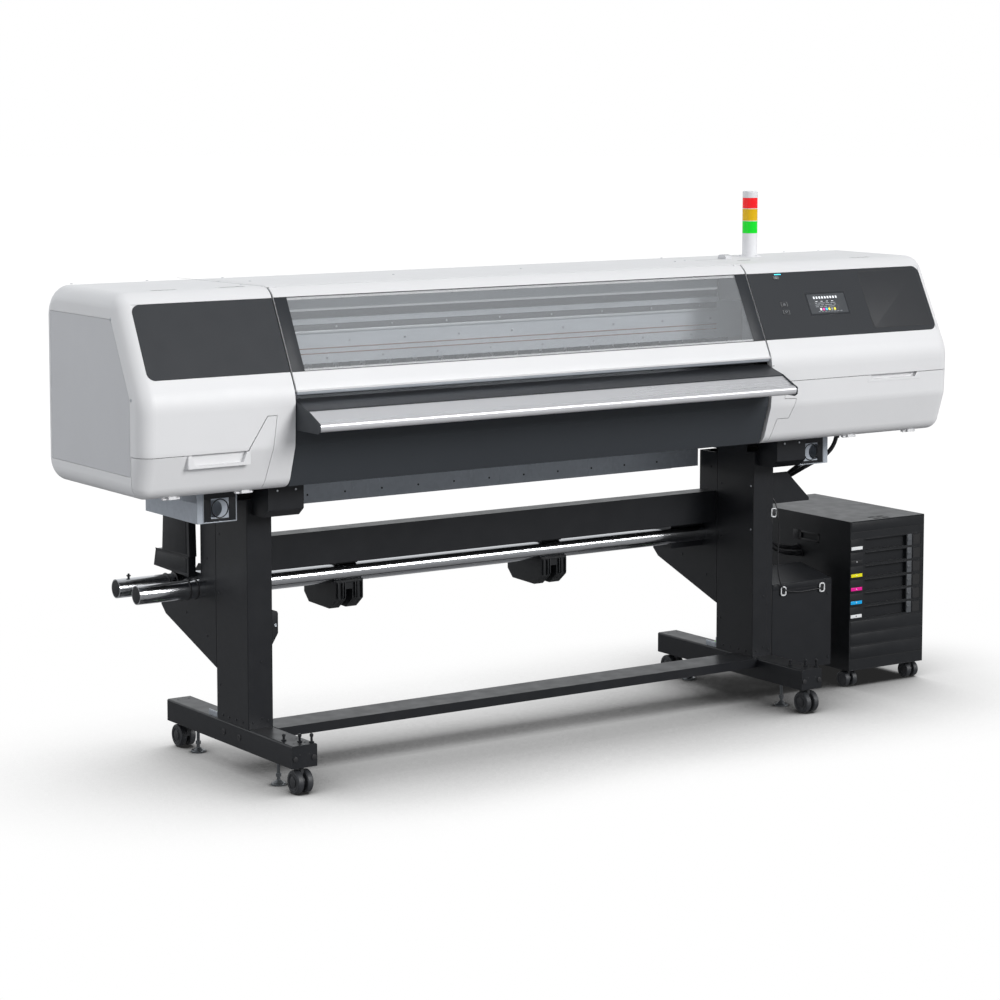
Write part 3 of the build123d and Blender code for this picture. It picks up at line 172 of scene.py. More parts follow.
def surface(
    name, colour, roughness, metallic=0.0, tint=0.04, smudge=0.04, grain=900.0, grain_depth=0.00003,
    grain_strength=0.3, edge=0.0008, stretch=None, coat=0.0, specular=0.5, glow=0.0, glow_colour=None,
    alpha=1.0, spangle=0.0,
):
    """A procedural finish: broad tint, smudged gloss, fine grain, and softened edges."""
    material = bpy.data.materials.new(name)
    tree = empty_tree(material)
    output = tree.nodes.new("ShaderNodeOutputMaterial")
    shader = tree.nodes.new("ShaderNodeBsdfPrincipled")
    shader.inputs["Metallic"].default_value = metallic
    shader.inputs["Coat Weight"].default_value = coat
    shader.inputs["Coat Roughness"].default_value = COAT_ROUGHNESS
    shader.inputs["Specular IOR Level"].default_value = specular
    shader.inputs["Alpha"].default_value = alpha
    if glow:
        shader.inputs["Emission Color"].default_value = (*(glow_colour or colour), 1)
        shader.inputs["Emission Strength"].default_value = glow
    tree.links.new(shader.outputs["BSDF"], output.inputs["Surface"])
    place = tree.nodes.new("ShaderNodeTexCoord").outputs["Object"]
    broad = ranged(tree, noise(tree, place, TINT_SCALE, 3.0), 0.0, 1.0)
    painted = blend_colours(tree, broad, shade(colour, 1 - tint), shade(colour, 1 + tint))
    if spangle:
        crystals = add_node(tree, "ShaderNodeTexVoronoi", Scale=SPANGLE_SCALE)
        tree.links.new(place, crystals.inputs["Vector"])
        value = tree.nodes.new("ShaderNodeSeparateColor")
        tree.links.new(crystals.outputs["Color"], value.inputs["Color"])
        patch = value.outputs["Red"]
        painted = blend_colours(tree, patch, shade(colour, 1 - spangle), painted)
    tree.links.new(painted, shader.inputs["Base Color"])
    smudges = noise(tree, place, SMUDGE_SCALE, 3.0, stretch)
    worn = ranged(tree, smudges, roughness - smudge, roughness + smudge)
    tree.links.new(worn, shader.inputs["Roughness"])
    bump = add_node(tree, "ShaderNodeBump", Strength=grain_strength, Distance=grain_depth)
    tree.links.new(noise(tree, place, grain, 2.0, stretch), bump.inputs["Height"])
    if edge:
        bevel = add_node(tree, "ShaderNodeBevel", Radius=edge)
        bevel.samples = 4
        tree.links.new(bevel.outputs["Normal"], bump.inputs["Normal"])
    tree.links.new(bump.outputs["Normal"], shader.inputs["Normal"])
    return material


BRUSH_X = (0.04, 1.0, 1.0)
WHITE = (0.80, 0.80, 0.81)
STAND = (0.012, 0.013, 0.0155)

MATERIALS = {
    "housing_white": surface(
        "satin_white_shell", WHITE, 0.42, specular=0.35, tint=0.012, grain=1400.0, edge=0.0012
    ),
    "panel_grey": surface("side_panel_shell", (0.62, 0.625, 0.645), 0.45, tint=0.015, grain=1400.0),
    "fascia_dark": surface(
        "fascia_panel", (0.026, 0.029, 0.034), 0.42, tint=0.03, edge=0.0004, specular=0.2
    ),
    "screen_glass": surface(
        "screen_cover", (0.022, 0.025, 0.03), 0.12, tint=0.05, coat=0.6, grain_strength=0.05
    ),
    "window_clear": surface(
        "tinted_pane", (0.50, 0.52, 0.54), 0.08, tint=0.02, smudge=0.02, grain_strength=0.02, edge=0,
        alpha=0.24,
    ),
    "key_grey": surface("soft_keys", (0.10, 0.105, 0.11), 0.5),
    "chassis_steel": surface("chassis_paint", (0.03, 0.032, 0.035), 0.5),
    "rail_steel": surface(
        "rail_brushed", (0.80, 0.85, 0.91), 0.36, 0.2, tint=0.05, grain=1500.0, stretch=BRUSH_X, edge=0
    ),
    "carriage_black": surface("carriage_shell", (0.014, 0.015, 0.017), 0.5, specular=0.3),
    "roller_rubber": surface("roller_rubber", (0.045, 0.045, 0.048), 0.7, grain=2600.0, grain_depth=0.00008),
    "deck_dark": surface(
        "platen_metal", (0.060, 0.064, 0.071), 0.34, 0.7, tint=0.05, grain=1800.0, stretch=BRUSH_X, edge=0
    ),
    "bar_silver": surface(
        "satin_bar", (0.80, 0.80, 0.82), 0.30, 0.65, tint=0.02, grain=1800.0, stretch=BRUSH_X, edge=0
    ),
    "apron_dark": surface("apron_paint", (0.043, 0.048, 0.055), 0.42, tint=0.02, edge=0.0004, specular=0.25),
    "galvanised": surface(
        "galvanised_sheet", (0.46, 0.50, 0.555), 0.38, 0.2, tint=0.05, smudge=0.07, spangle=0.08, edge=0.0004
    ),
    "stand_paint": surface(
        "powder_coat", STAND, 0.36, tint=0.06, grain=1100.0, grain_depth=0.00006, grain_strength=0.4,
        specular=0.35,
    ),
    "shaft_chrome": surface(
        "polished_shaft", (0.70, 0.71, 0.73), 0.16, 1.0, tint=0.02, grain=2500.0, stretch=BRUSH_X, edge=0
    ),
    "lamp_white": surface("lamp_body", (0.80, 0.80, 0.82), 0.3, tint=0.02),
    "lens_green": surface("lens_green", (0.0, 0.60, 0.02), 0.22, glow=0.25, glow_colour=(0.0, 0.75, 0.01)),
    "lens_amber": surface("lens_amber", (0.72, 0.44, 0.0), 0.22, glow=0.12, glow_colour=(0.75, 0.45, 0.0)),
    "lens_red": surface("lens_red", (0.80, 0.008, 0.012), 0.22, glow=0.25, glow_colour=(0.85, 0.004, 0.01)),
    "cabinet_black": surface(
        "cabinet_coat", (0.010, 0.011, 0.013), 0.36, tint=0.06, grain=1100.0, grain_depth=0.00006,
        specular=0.4,
    ),
    "tray_black": surface("tray_plastic", (0.010, 0.011, 0.013), 0.42, tint=0.05, specular=0.3),
    "hose_black": surface("hose_rubber", (0.013, 0.013, 0.015), 0.42, grain=1800.0, edge=0),
    "caster_black": surface("caster_plastic", (0.026, 0.027, 0.03), 0.42),
    "wheel_rubber": surface("wheel_tread", (0.03, 0.032, 0.036), 0.5, grain=1500.0),
    "leveller_steel": surface("leveller_steel", (0.16, 0.17, 0.18), 0.35, 0.8),
}


def extra(name, *arguments, **values):
    """A finish that no slot of the record has."""
    MATERIALS[name] = surface(name, *arguments, **values)


extra("guide_light", (0.84, 0.88, 0.92), 0.36, 0.2, tint=0.04, grain=1500.0, stretch=BRUSH_X, edge=0)
extra("guide_dark", (0.17, 0.18, 0.19), 0.40, 0.3, tint=0.04, edge=0)
# Painted light: the encoder strip's finish glows, though the strip is no lamp.
extra("guide_strip_painted_glow", (0.86, 0.89, 0.92), 0.4, 0.0, glow=0.25, edge=0)
extra("tray_grey", (0.085, 0.09, 0.098), 0.36)
extra("belt", (0.36, 0.22, 0.18), 0.6, edge=0)
extra("zinc_screw", (0.55, 0.57, 0.60), 0.3, 1.0)
extra("dark_screw", (0.02, 0.021, 0.024), 0.38, 0.4)
extra("recess", (0.008, 0.008, 0.009), 0.7, edge=0)
extra("inset_gloss", (0.033, 0.035, 0.039), 0.5, specular=0.2)
extra("clip_white", (0.78, 0.79, 0.80), 0.35)
extra("plug_black", (0.012, 0.012, 0.014), 0.5)
# Painted highlight: the level vials' finish glows, though a vial is no lamp.
extra("vial_green_painted_glow", (0.16, 0.52, 0.02), 0.15, glow=0.15, coat=0.5)
extra("bright_sheet", (0.42, 0.45, 0.49), 0.36, 0.6)
extra("inner_wall", (0.24, 0.245, 0.255), 0.5)
for name, colour in (
    ("ink_white", (0.80, 0.81, 0.82)),
    ("ink_black", (0.01, 0.01, 0.011)),
    ("ink_yellow", (0.88, 0.80, 0.0)),
    ("ink_magenta", (0.84, 0.0, 0.31)),
    ("ink_cyan", (0.0, 0.40, 0.84)),
):
    extra(name, colour, 0.4)
extra("led_cyan", (0.05, 0.7, 0.85), 0.3, glow=1.6, glow_colour=(0.05, 0.72, 0.95), edge=0)
# Painted highlight: the printed key marks glow, though they are no lamp.
extra("glyph_painted_glow", (0.55, 0.57, 0.6), 0.4, glow=0.12, edge=0)
extra("screen_ground", (0.03, 0.033, 0.038), 0.25, glow=0.05, glow_colour=(0.5, 0.55, 0.6), edge=0)
for name, colour, glow in (
    ("pixel_white", (0.75, 0.77, 0.8), 0.5),
    ("pixel_grey", (0.28, 0.3, 0.32), 0.3),
    ("pixel_yellow", (0.9, 0.75, 0.05), 0.5),
    ("pixel_magenta", (0.85, 0.05, 0.35), 0.5),
    ("pixel_cyan", (0.05, 0.5, 0.85), 0.5),
):
    extra(name, colour, 0.4, glow=glow, edge=0)

for part in frame["record"]["subparts"]:
    node = frame["nodes"][part["node"]]
    node.data.materials.clear()
    node.data.materials.append(MATERIALS[part["material_slot"]])


# ---- Making pieces ----

def add_object(name, data):
    """An object of the scene."""
    made = bpy.data.objects.new(name, data)
    bpy.context.scene.collection.objects.link(made)
    return made



# A face with no edge under this is flat, so that the rounded edges beside it don't bend its shading.
BROAD_FACE = 6.0
# Edges that turn more than these are rounded, and are shaded as edges.
SHARP_EDGE = math.radians(35)
SHADED_EDGE = math.radians(38)


class Piece:
    """One mesh under construction, in millimetres in the row frame."""

    def __init__(self):
        self.mesh = bmesh.new()

    def soften(self, faces, width):
        """Rounds the sharp edges of some faces."""
        if not width:
            return
        edges = {edge for face in faces for edge in face.edges}
        sharp = [e for e in edges if len(e.link_faces) == 2 and e.calc_face_angle(0) > SHARP_EDGE]
        bmesh.ops.bevel(
            self.mesh, geom=sharp, offset=width, offset_type="OFFSET", segments=2, profile=0.6,
            affect="EDGES", clamp_overlap=True,
        )

    def prism(self, points, move, soft=0.4):
        """A flat outline of points carried along a vector."""
        base = [self.mesh.verts.new(point) for point in points]
        face = self.mesh.faces.new(base)
        face.normal_update()
        if face.normal.dot(move) > 0:
            face.normal_flip()
        made = bmesh.ops.extrude_face_region(self.mesh, geom=[face], use_keep_orig=True)
        moved = [v for v in made["geom"] if isinstance(v, bmesh.types.BMVert)]
        bmesh.ops.translate(self.mesh, verts=moved, vec=move)
        faces = {f for v in base + moved for f in v.link_faces}
        bmesh.ops.recalc_face_normals(self.mesh, faces=list(faces))
        self.soften(faces, soft)
        return self

    def box(self, x0, x1, y0, y1, z0, z1, soft=0.4):
        """A box between two corners."""
        corners = [(x0, y0, z0), (x1, y0, z0), (x1, y1, z0), (x0, y1, z0)]
        return self.prism(corners, Vector((0, 0, z1 - z0)), soft)

    def across(self, points, x0, x1, soft=0.4):
        """A (y, z) outline carried along X."""
        return self.prism([(x0, y, z) for y, z in points], Vector((x1 - x0, 0, 0)), soft)

    def upright(self, points, y0, y1, soft=0.4):
        """An (x, z) outline carried along Y."""
        return self.prism([(x, y0, z) for x, z in points], Vector((0, y1 - y0, 0)), soft)

    def slab(self, x0, x1, low, high, inner, outer, corner=0.0, soft=0.15):
        """A slab on the slanted face: low and high up the slope, inner and outer out of it."""
        places = rounded_outline(x0, x1, low, high, corner)
        points = [on_slope(x, up, inner) for x, up in places]
        return self.prism(points, SLOPE_OUT * (outer - inner), soft)

    def disc(self, centre, axis, radius, height, soft=0.3, sides=20, end_radius=None):
        """A round boss from centre along axis."""
        turn = axis.normalized().to_track_quat("Z", "Y").to_matrix().to_4x4()
        place = Matrix.Translation(Vector(centre) + axis.normalized() * height / 2) @ turn
        made = bmesh.ops.create_cone(
            self.mesh, cap_ends=True, segments=sides, radius1=radius,
            radius2=radius if end_radius is None else end_radius, depth=height, matrix=place,
        )
        self.soften({f for v in made["verts"] for f in v.link_faces}, soft)
        return self

    def ring(self, centre, axis, radius, thickness, sides=28, around=8):
        """A torus about axis."""
        turn = axis.normalized().to_track_quat("Z", "Y")
        rows = []
        for i in range(sides):
            a = 2 * math.pi * i / sides
            row = []
            for j in range(around):
                b = 2 * math.pi * j / around
                reach = radius + thickness * math.cos(b)
                local = Vector((reach * math.cos(a), reach * math.sin(a), thickness * math.sin(b)))
                row.append(self.mesh.verts.new(Vector(centre) + turn @ local))
            rows.append(row)
        for i in range(sides):
            for j in range(around):
                a, b = rows[i], rows[(i + 1) % sides]
                self.mesh.faces.new((a[j], b[j], b[(j + 1) % around], a[(j + 1) % around]))
        return self

    def wire(self, points, radius, around=10):
        """A round bar that follows points, with closed ends."""
        points = [Vector(p) for p in points]
        rows = []
        normal = None
        for i, point in enumerate(points):
            ahead = points[min(i + 1, len(points) - 1)] - points[max(i - 1, 0)]
            ahead.normalize()
            if normal is None:
                normal = ahead.orthogonal().normalized()
            normal = (normal - ahead * normal.dot(ahead)).normalized()
            side = ahead.cross(normal)
            row = []
            for j in range(around):
                a = 2 * math.pi * j / around
                row.append(self.mesh.verts.new(point + (normal * math.cos(a) + side * math.sin(a)) * radius))
            rows.append(row)
        for a, b in zip(rows, rows[1:]):
            for j in range(around):
                self.mesh.faces.new((a[j], a[(j + 1) % around], b[(j + 1) % around], b[j]))
        self.mesh.faces.new(rows[0][::-1])
        self.mesh.faces.new(rows[-1])
        return self

    def screw(self, centre, axis, radius=3.4, height=1.6):
        """A pan head with a recessed drive."""
        axis = axis.normalized()
        self.disc(centre, axis, radius, height, soft=height * 0.45, sides=16)
        top = Vector(centre) + axis * height
        self.ring(top - axis * 0.15, axis, radius * 0.42, 0.22, sides=12, around=5)
        return self

    @staticmethod
    def shortest(data, face):
        """A face's shortest edge, in millimetres."""
        ends = [data.edges[data.loops[i].edge_index].vertices for i in face.loop_indices]
        return min((data.vertices[a].co - data.vertices[b].co).length for a, b in ends) / MM

    def done(self, name, finish, body="frame"):
        """Makes the object with its finish, riding on a CAD body."""
        bmesh.ops.recalc_face_normals(self.mesh, faces=self.mesh.faces)
        bmesh.ops.scale(self.mesh, vec=(MM, MM, MM), verts=self.mesh.verts)
        data = bpy.data.meshes.new(name)
        self.mesh.to_mesh(data)
        self.mesh.free()
        smooth = [len(f.vertices) < 5 and self.shortest(data, f) < BROAD_FACE for f in data.polygons]
        data.polygons.foreach_set("use_smooth", smooth)
        data.set_sharp_from_angle(angle=SHADED_EDGE)
        data.materials.append(MATERIALS[finish])
        piece = add_object(name, data)
        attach(piece, body)


def on_slope(x, up, out):
    """A point on the slanted face."""
    return Vector((x, 0, 0)) + SLOPE_MID + SLOPE_UP * up + SLOPE_OUT * out


def rounded_outline(x0, x1, y0, y1, radius, steps=6):
    """A rectangle's outline with rounded corners."""
    if not radius:
        return [(x0, y0), (x1, y0), (x1, y1), (x0, y1)]
    points = []
    corners = ((x1 - radius, y0 + radius, -90), (x1 - radius, y1 - radius, 0),
               (x0 + radius, y1 - radius, 90), (x0 + radius, y0 + radius, 180))
    for x, y, start in corners:
        for i in range(steps + 1):
            a = math.radians(start + 90 * i / steps)
            points.append((x + radius * math.cos(a), y + radius * math.sin(a)))
    return points


# ---- Camera, floor and light ----

CAMERA_AT = Vector((-5.0197, -7.2394, 2.025))
CAMERA_YAW = 34.05
CAMERA_PITCH = 6.1
CAMERA_LENS = 103.95
CAMERA_SHIFT = -0.12


def make_camera():
    """The photograph's viewpoint."""
    data = bpy.data.cameras.new("camera")
    data.lens = CAMERA_LENS
    data.sensor_width = 36.0
    data.shift_y = CAMERA_SHIFT
    data.clip_end = 200.0
    camera = add_object("camera", data)
    camera.location = CAMERA_AT
    camera.rotation_euler = (math.radians(90 - CAMERA_PITCH), 0, math.radians(-CAMERA_YAW))
    bpy.context.scene.camera = camera


# The floor, in metres: its radius, how near a piece has to be to darken its painted shadow, and where it
# starts and ends turning to plain white. Its painted shadow runs over a span of the open share of the sky.
FLOOR_RADIUS = 60.0
FLOOR_REACH = 1.15
PLAIN_FROM, PLAIN_TO = 2.6, 7.0
SHADED_SHARE, OPEN_SHARE = 0.30, 0.90
DEEPEST_SHADE = 0.02


def make_floor():
    """A glowing floor with a painted shadow, from ambient occlusion, where pieces stand near it, and plain
    white well away from them.
    """
    mesh = bmesh.new()
    bmesh.ops.create_circle(mesh, cap_ends=True, radius=FLOOR_RADIUS, segments=96)
    data = bpy.data.meshes.new("studio_floor")
    mesh.to_mesh(data)
    mesh.free()
    material = bpy.data.materials.new("studio_floor")
    tree = empty_tree(material)
    output = tree.nodes.new("ShaderNodeOutputMaterial")
    # Painted shadow: the floor's glow is darkened by ambient occlusion, not by the lamps.
    cover = tree.nodes.new("ShaderNodeAmbientOcclusion")
    cover.inputs["Distance"].default_value = FLOOR_REACH
    cover.samples = 24
    shadow = map_range(tree, cover.outputs["AO"], SHADED_SHARE, OPEN_SHARE, DEEPEST_SHADE, 1.0)
    near = add_node(tree, "ShaderNodeEmission", Color=(1, 1, 1, 1))
    tree.links.new(shadow.outputs["Result"], near.inputs["Strength"])
    plain = add_node(tree, "ShaderNodeEmission", Color=(1, 1, 1, 1), Strength=1.05)
    reach = tree.nodes.new("ShaderNodeVectorMath")
    reach.operation = "LENGTH"
    tree.links.new(tree.nodes.new("ShaderNodeTexCoord").outputs["Object"], reach.inputs[0])
    fade = map_range(tree, reach.outputs["Value"], PLAIN_FROM, PLAIN_TO, 0.0, 1.0)
    fade.interpolation_type = "SMOOTHSTEP"
    look = mixed(tree, fade.outputs["Result"], near.outputs["Emission"], plain.outputs["Emission"])
    bounce = add_node(tree, "ShaderNodeBsdfDiffuse", Color=(0.34, 0.34, 0.345, 1))
    tree.links.new(by_ray(tree, bounce.outputs["BSDF"], look), output.inputs["Surface"])
    data.materials.append(material)
    floor = add_object("studio_floor", data)
    floor.location.z = -0.0005


def make_sun(name, direction, strength, spread):
    """A soft distant light from a direction."""
    data = bpy.data.lights.new(name, "SUN")
    data.energy = strength
    data.angle = math.radians(spread)
    light = add_object(name, data)
    light.rotation_mode = "QUATERNION"
    light.rotation_quaternion = Vector(direction).to_track_quat("Z", "Y")


# The sky's strength all round, and what it gains towards the back and the left.
AMBIENT = 0.32
BACK_GAIN = 0.72
LEFT_GAIN = 0.62


def make_light():
    """A soft sky that the camera sees as plain white, and two suns."""
    world = bpy.data.worlds.new("studio")
    tree = empty_tree(world)
    output = tree.nodes.new("ShaderNodeOutputWorld")
    soft = add_node(tree, "ShaderNodeBackground", Color=(0.96, 0.98, 1.0, 1))
    sky = tree.nodes.new("ShaderNodeSeparateXYZ")
    tree.links.new(tree.nodes.new("ShaderNodeTexCoord").outputs["Generated"], sky.inputs["Vector"])
    total = None
    for axis, far, strength in (("Y", 1.0, BACK_GAIN), ("X", -1.0, LEFT_GAIN)):
        side = map_range(tree, sky.outputs[axis], 0.0, far, 0.0, strength)
        add = tree.nodes.new("ShaderNodeMath")
        add.operation = "ADD"
        add.inputs[0].default_value = AMBIENT
        if total:
            tree.links.new(total, add.inputs[0])
        tree.links.new(side.outputs["Result"], add.inputs[1])
        total = add.outputs["Value"]
    tree.links.new(total, soft.inputs["Strength"])
    seen = add_node(tree, "ShaderNodeBackground", Color=(1, 1, 1, 1), Strength=1.0)
    look = by_ray(tree, soft.outputs["Background"], seen.outputs["Background"])
    tree.links.new(look, output.inputs["Surface"])
    bpy.context.scene.world = world
    make_sun("front_light", (0.30, -0.62, 0.34), 2.2, 25)
    make_sun("top_light", (0.10, 0.10, 1.0), 0.06, 40)


# ---- Where the details go ----

FRONT = -Y_AXIS
LEFT = -X_AXIS
BODY_TOP = LEFT_BODY.z1
BODY_LEFT = LEFT_BODY.x0
COLUMNS = Span("stand_columns")
COLUMN_WIDTH = 82.0
LEFT_COLUMN = COLUMNS.x0 + COLUMN_WIDTH / 2
RIGHT_COLUMN = COLUMNS.x1 - COLUMN_WIDTH / 2
BOTH_COLUMNS = (LEFT_COLUMN, RIGHT_COLUMN)
FEET = Span("stand_feet")
RAIL = Span("carriage_rail")
DECK = Span("media_deck")
SHAFTS = Span("guide_shafts")
WASTE = Span("waste_box")
PLATES = Span("galvanised_plates")
SCREEN = Span("touch_screen")
POST = Span("signal_post")
LIFTING_FRAMES = (OPEN_LEFT - 225, OPEN_RIGHT + 262)
LIFTING_WIDTH = 107
SHAFT_YS = (180, 310)
TRAY_PITCH = 45.3
LENS_RADIUS = 24.35
TRAY_FINISHES = ("ink_white", "ink_black", "ink_yellow", "ink_magenta", "ink_cyan", "ink_white")


def spaced(first, last, count):
    """Evenly spaced places, both ends among them."""
    return [first + (last - first) * i / (count - 1) for i in range(count)]


def proud(node):
    """How far a CAD node stands out of the slanted face."""
    points = (Vector(v.co) / MM - SLOPE_MID for v in frame["nodes"][node].data.vertices)
    return max(point.dot(SLOPE_OUT) for point in points)


def slope_place(node):
    """A CAD node's middle: its X, and how far it is up the slanted face."""
    span = Span(node)
    return span.x, (Vector((0, span.y, span.z)) - SLOPE_MID).dot(SLOPE_UP)


# ---- Hoses and the sensor lead ----

def hose_route(index):
    """The same places as the CAD tube's, from the right housing to the ink cabinet's side."""
    x = OPEN_RIGHT + (418.0, 470.0)[index]
    back = 18 * index
    column = COLUMNS.x1
    return [
        (x, -100.0, 868),
        (x, -100.0, 798),
        (x - 62 - 20 * index, -30.0, 742 - 6 * index),
        (column + 128 + back, 62 + back, 668),
        (column + 106 + back, 98 + back, 590),
        (column + 110 + back, 108 + back, 500),
        (CABINET.x0 - 86 + back / 2, 128 + back, 418 + back),
        (CABINET.x0, 128 + back, 418 + back),
    ]


def lead_route():
    """The same places as the CAD lead's, from the column to the waste box's clips."""
    x = COLUMNS.x1
    y = COLUMNS.y0 - 8
    return [
        (x, y + 20, 655),
        (x + 14, y + 20, 655),
        (x + 12, y, 610),
        (x + 20, y - 1, 545),
        (x + 14, y, 475),
        (x + 15, y - 1, 405),
        (x + 36, y, 352),
        (x + 92, y - 1, 341),
        (x + 148, y, 341),
        (x + 204, y - 4, 345),
        (x + 204, y + 8, 345),
    ]


def make_cord(name, points, radius):
    """A cord of the record: a round tube along the points, in place of the CAD one."""
    data = bpy.data.curves.new(name, "CURVE")
    data.dimensions = "3D"
    data.bevel_depth = radius * MM
    data.bevel_resolution = 5
    data.resolution_u = 14
    data.use_fill_caps = True
    spline = data.splines.new("NURBS")
    spline.points.add(len(points) - 1)
    for point, place in zip(spline.points, points):
        point.co = (*(Vector(place) * MM), 1)
    spline.order_u = 3
    spline.use_endpoint_u = True
    data.materials.append(MATERIALS["hose_black"])
    piece = add_object(name, data)
    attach(piece, "frame")
    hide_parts("ink_hoses")


def make_cords():
    """Both hoses, the lead, and the sleeves at the hoses' ends."""
    make_cord("ink_hose_front", hose_route(0), 7.0)
    make_cord("ink_hose_rear", hose_route(1), 7.0)
    make_cord("sensor_lead", lead_route(), 2.0)
    sleeves = Piece()
    for index in range(2):
        route = hose_route(index)
        x, y, z = route[0]
        sleeves.disc((x, y, z - 4), -Z_AXIS, 11.5, 7, soft=1.2, sides=28)
        sleeves.disc((x, y, z - 11), -Z_AXIS, 9.5, 22, soft=0.6, sides=28, end_radius=7.6)
        x, y, z = route[-1]
        sleeves.disc((x - 0.2, y, z), LEFT, 12.0, 6, soft=1.2, sides=28)
        sleeves.disc((x - 6, y, z), LEFT, 9.5, 22, soft=0.6, sides=28, end_radius=7.6)
    sleeves.done("hose_sleeves", "hose_black")


# ---- Hood, and what shows through its window ----

def hood_details():
    """The dark borders beside the pane, its gaskets, and the strip under the lip."""
    x0, x1 = HOOD.x0, HOOD.x1
    borders = Piece()
    borders.slab(x0 + 0.3, x0 + 41, -SLOPE_HALF, SLOPE_HALF, -0.2, 0.6)
    borders.slab(x1 - 44, x1 - 0.3, -SLOPE_HALF, SLOPE_HALF, -0.2, 0.6)
    borders.done("hood_borders", "fascia_dark", "hood")
    gaskets = Piece()
    for up in (-SLOPE_HALF, SLOPE_HALF):
        gaskets.slab(x0 + 0.3, x1 - 0.3, up - 0.9, up + 0.9, -0.3, 0.75)
    gaskets.done("hood_gaskets", "plug_black", "hood")
    lip = Piece()
    lip.across(
        [(HOOD.y0 + 3, HOOD.z0), (HOOD.y0 + 3, HOOD.z0 - 8), (HOOD.y0 + 6, HOOD.z0 - 10),
         (HOOD.y0 + 26, HOOD.z0 - 10), (HOOD.y0 + 26, HOOD.z0)],
        x0 + 2, x1 - 2, soft=0.8,
    )
    lip.done("hood_lip_strip", "bright_sheet", "hood")


def bay_details():
    """The encoder strip's plates, belts, screws and pinch arms behind the window."""
    x0, x1 = OPEN_LEFT + 4, OPEN_RIGHT - 4
    face = RAIL.y0 + 8
    top = RAIL.z1
    upper = Piece()
    upper.box(x0, x1, face - 2, face + 4, top + 16, top + 70)
    upper.box(x0, x1, face + 4, face + 30, top + 66, top + 70)
    upper.box(x0, x1, face - 8, face - 2, top + 66, top + 70)
    upper.done("encoder_plate", "guide_light")
    # The encoder strip glows a little: painted light, as it is no lamp.
    strip = Piece().box(x0, x1, face - 3.5, face - 0.2, top + 9, top + 15, soft=0.3)
    strip.done("encoder_strip", "guide_strip_painted_glow")
    dark = Piece()
    dark.box(x0, x1, face - 2.5, face, RAIL.z1 - 13.5, top + 10)
    dark.box(x0, x1, face - 2.2, face, 1281, 1299.6)
    dark.done("rail_shadow_sheets", "guide_dark")
    Piece().box(x0, x1, face - 6.5, face, 1274, 1281, soft=0.8).done("rail_ledge", "guide_light")
    belts = Piece()
    for z in (1229, 1214):
        belts.box(x0, x1, face - 1.8, face - 0.3, z - 1.6, z + 1.6, soft=0.3)
    belts.done("carriage_belts", "belt")
    screws = Piece()
    for x in spaced(x0 + 70, x1 - 70, 9):
        screws.screw((x, face - 2.4, 1290), FRONT, 3.2, 1.4)
        screws.screw((x + 46, face - 0.1, 1248), FRONT, 3.6, 1.6)
        screws.screw((x - 30, face - 0.1, 1200), FRONT, 3.2, 1.5)
        screws.screw((x + 20, face - 2, top + 42), FRONT, 3.2, 1.5)
    screws.done("bay_screws", "zinc_screw")
    arms = Piece()
    for x in spaced(OPEN_LEFT + 60, OPEN_RIGHT - 60, 18):
        arms.across(
            [(face + 2, 1185), (face + 2, 1152), (face + 28, 1138), (face + 56, 1137), (face + 80, 1150),
             (face + 80, 1185)],
            x - 13, x + 13, soft=1.2,
        )
        foot = [(face, 1178), (face, 1163), (face + 6, 1159), (face + 6, 1178)]
        arms.across(foot, x - 19, x + 19, soft=0.8)
    arms.done("pinch_arms", "carriage_black")
    walls = Piece()
    upper_wall = [(-64, 1308), (-218, 1308), (-168, 1404), (-150, 1414), (-64, 1414)]
    lower_wall = [(-186, 1128), (-186, 1308), (-218, 1308), (-297, 1150), (-299, 1128)]
    for a, b in ((OPEN_LEFT - 0.2, OPEN_LEFT + 0.8), (OPEN_RIGHT - 0.8, OPEN_RIGHT + 0.2)):
        walls.across(upper_wall, a, b, soft=0)
        walls.across(lower_wall, a, b, soft=0)
    walls.done("bay_side_sheets", "inner_wall")


def deck_details():
    """Seams, air holes and screws on the platen."""
    x0, x1 = DECK.x0, DECK.x1
    seams = Piece()
    seams.box(x0 + 1, x1 - 1, -233.4, -232.6, DECK.z1 - 0.3, DECK.z1 + 0.12, soft=0)
    for x in spaced(x0, x1, 7)[1:-1]:
        seams.box(x - 0.3, x + 0.3, -232, -60, DECK.z1 - 0.3, DECK.z1 + 0.1, soft=0)
    seams.done("platen_seams", "recess")
    holes = Piece()
    for x in spaced(x0 + 18, x1 - 18, 58):
        for y in (-204, -176, -120, -92):
            holes.disc((x, y, DECK.z1 - 0.2), Z_AXIS, 1.3, 0.3, soft=0, sides=10)
    holes.done("platen_air_holes", "recess")
    screws = Piece()
    for x in (x0 + 14, x1 - 14):
        for y in (-252, -300, -345):
            screws.screw((x, y, DECK.z1 - 0.05), Z_AXIS, 3.2, 1.1)
    for x in spaced(x0 + 120, x1 - 120, 6):
        screws.screw((x, -246, DECK.z1 - 0.05), Z_AXIS, 2.6, 0.7)
    screws.done("deck_screws", "dark_screw")


# ---- Control panel ----

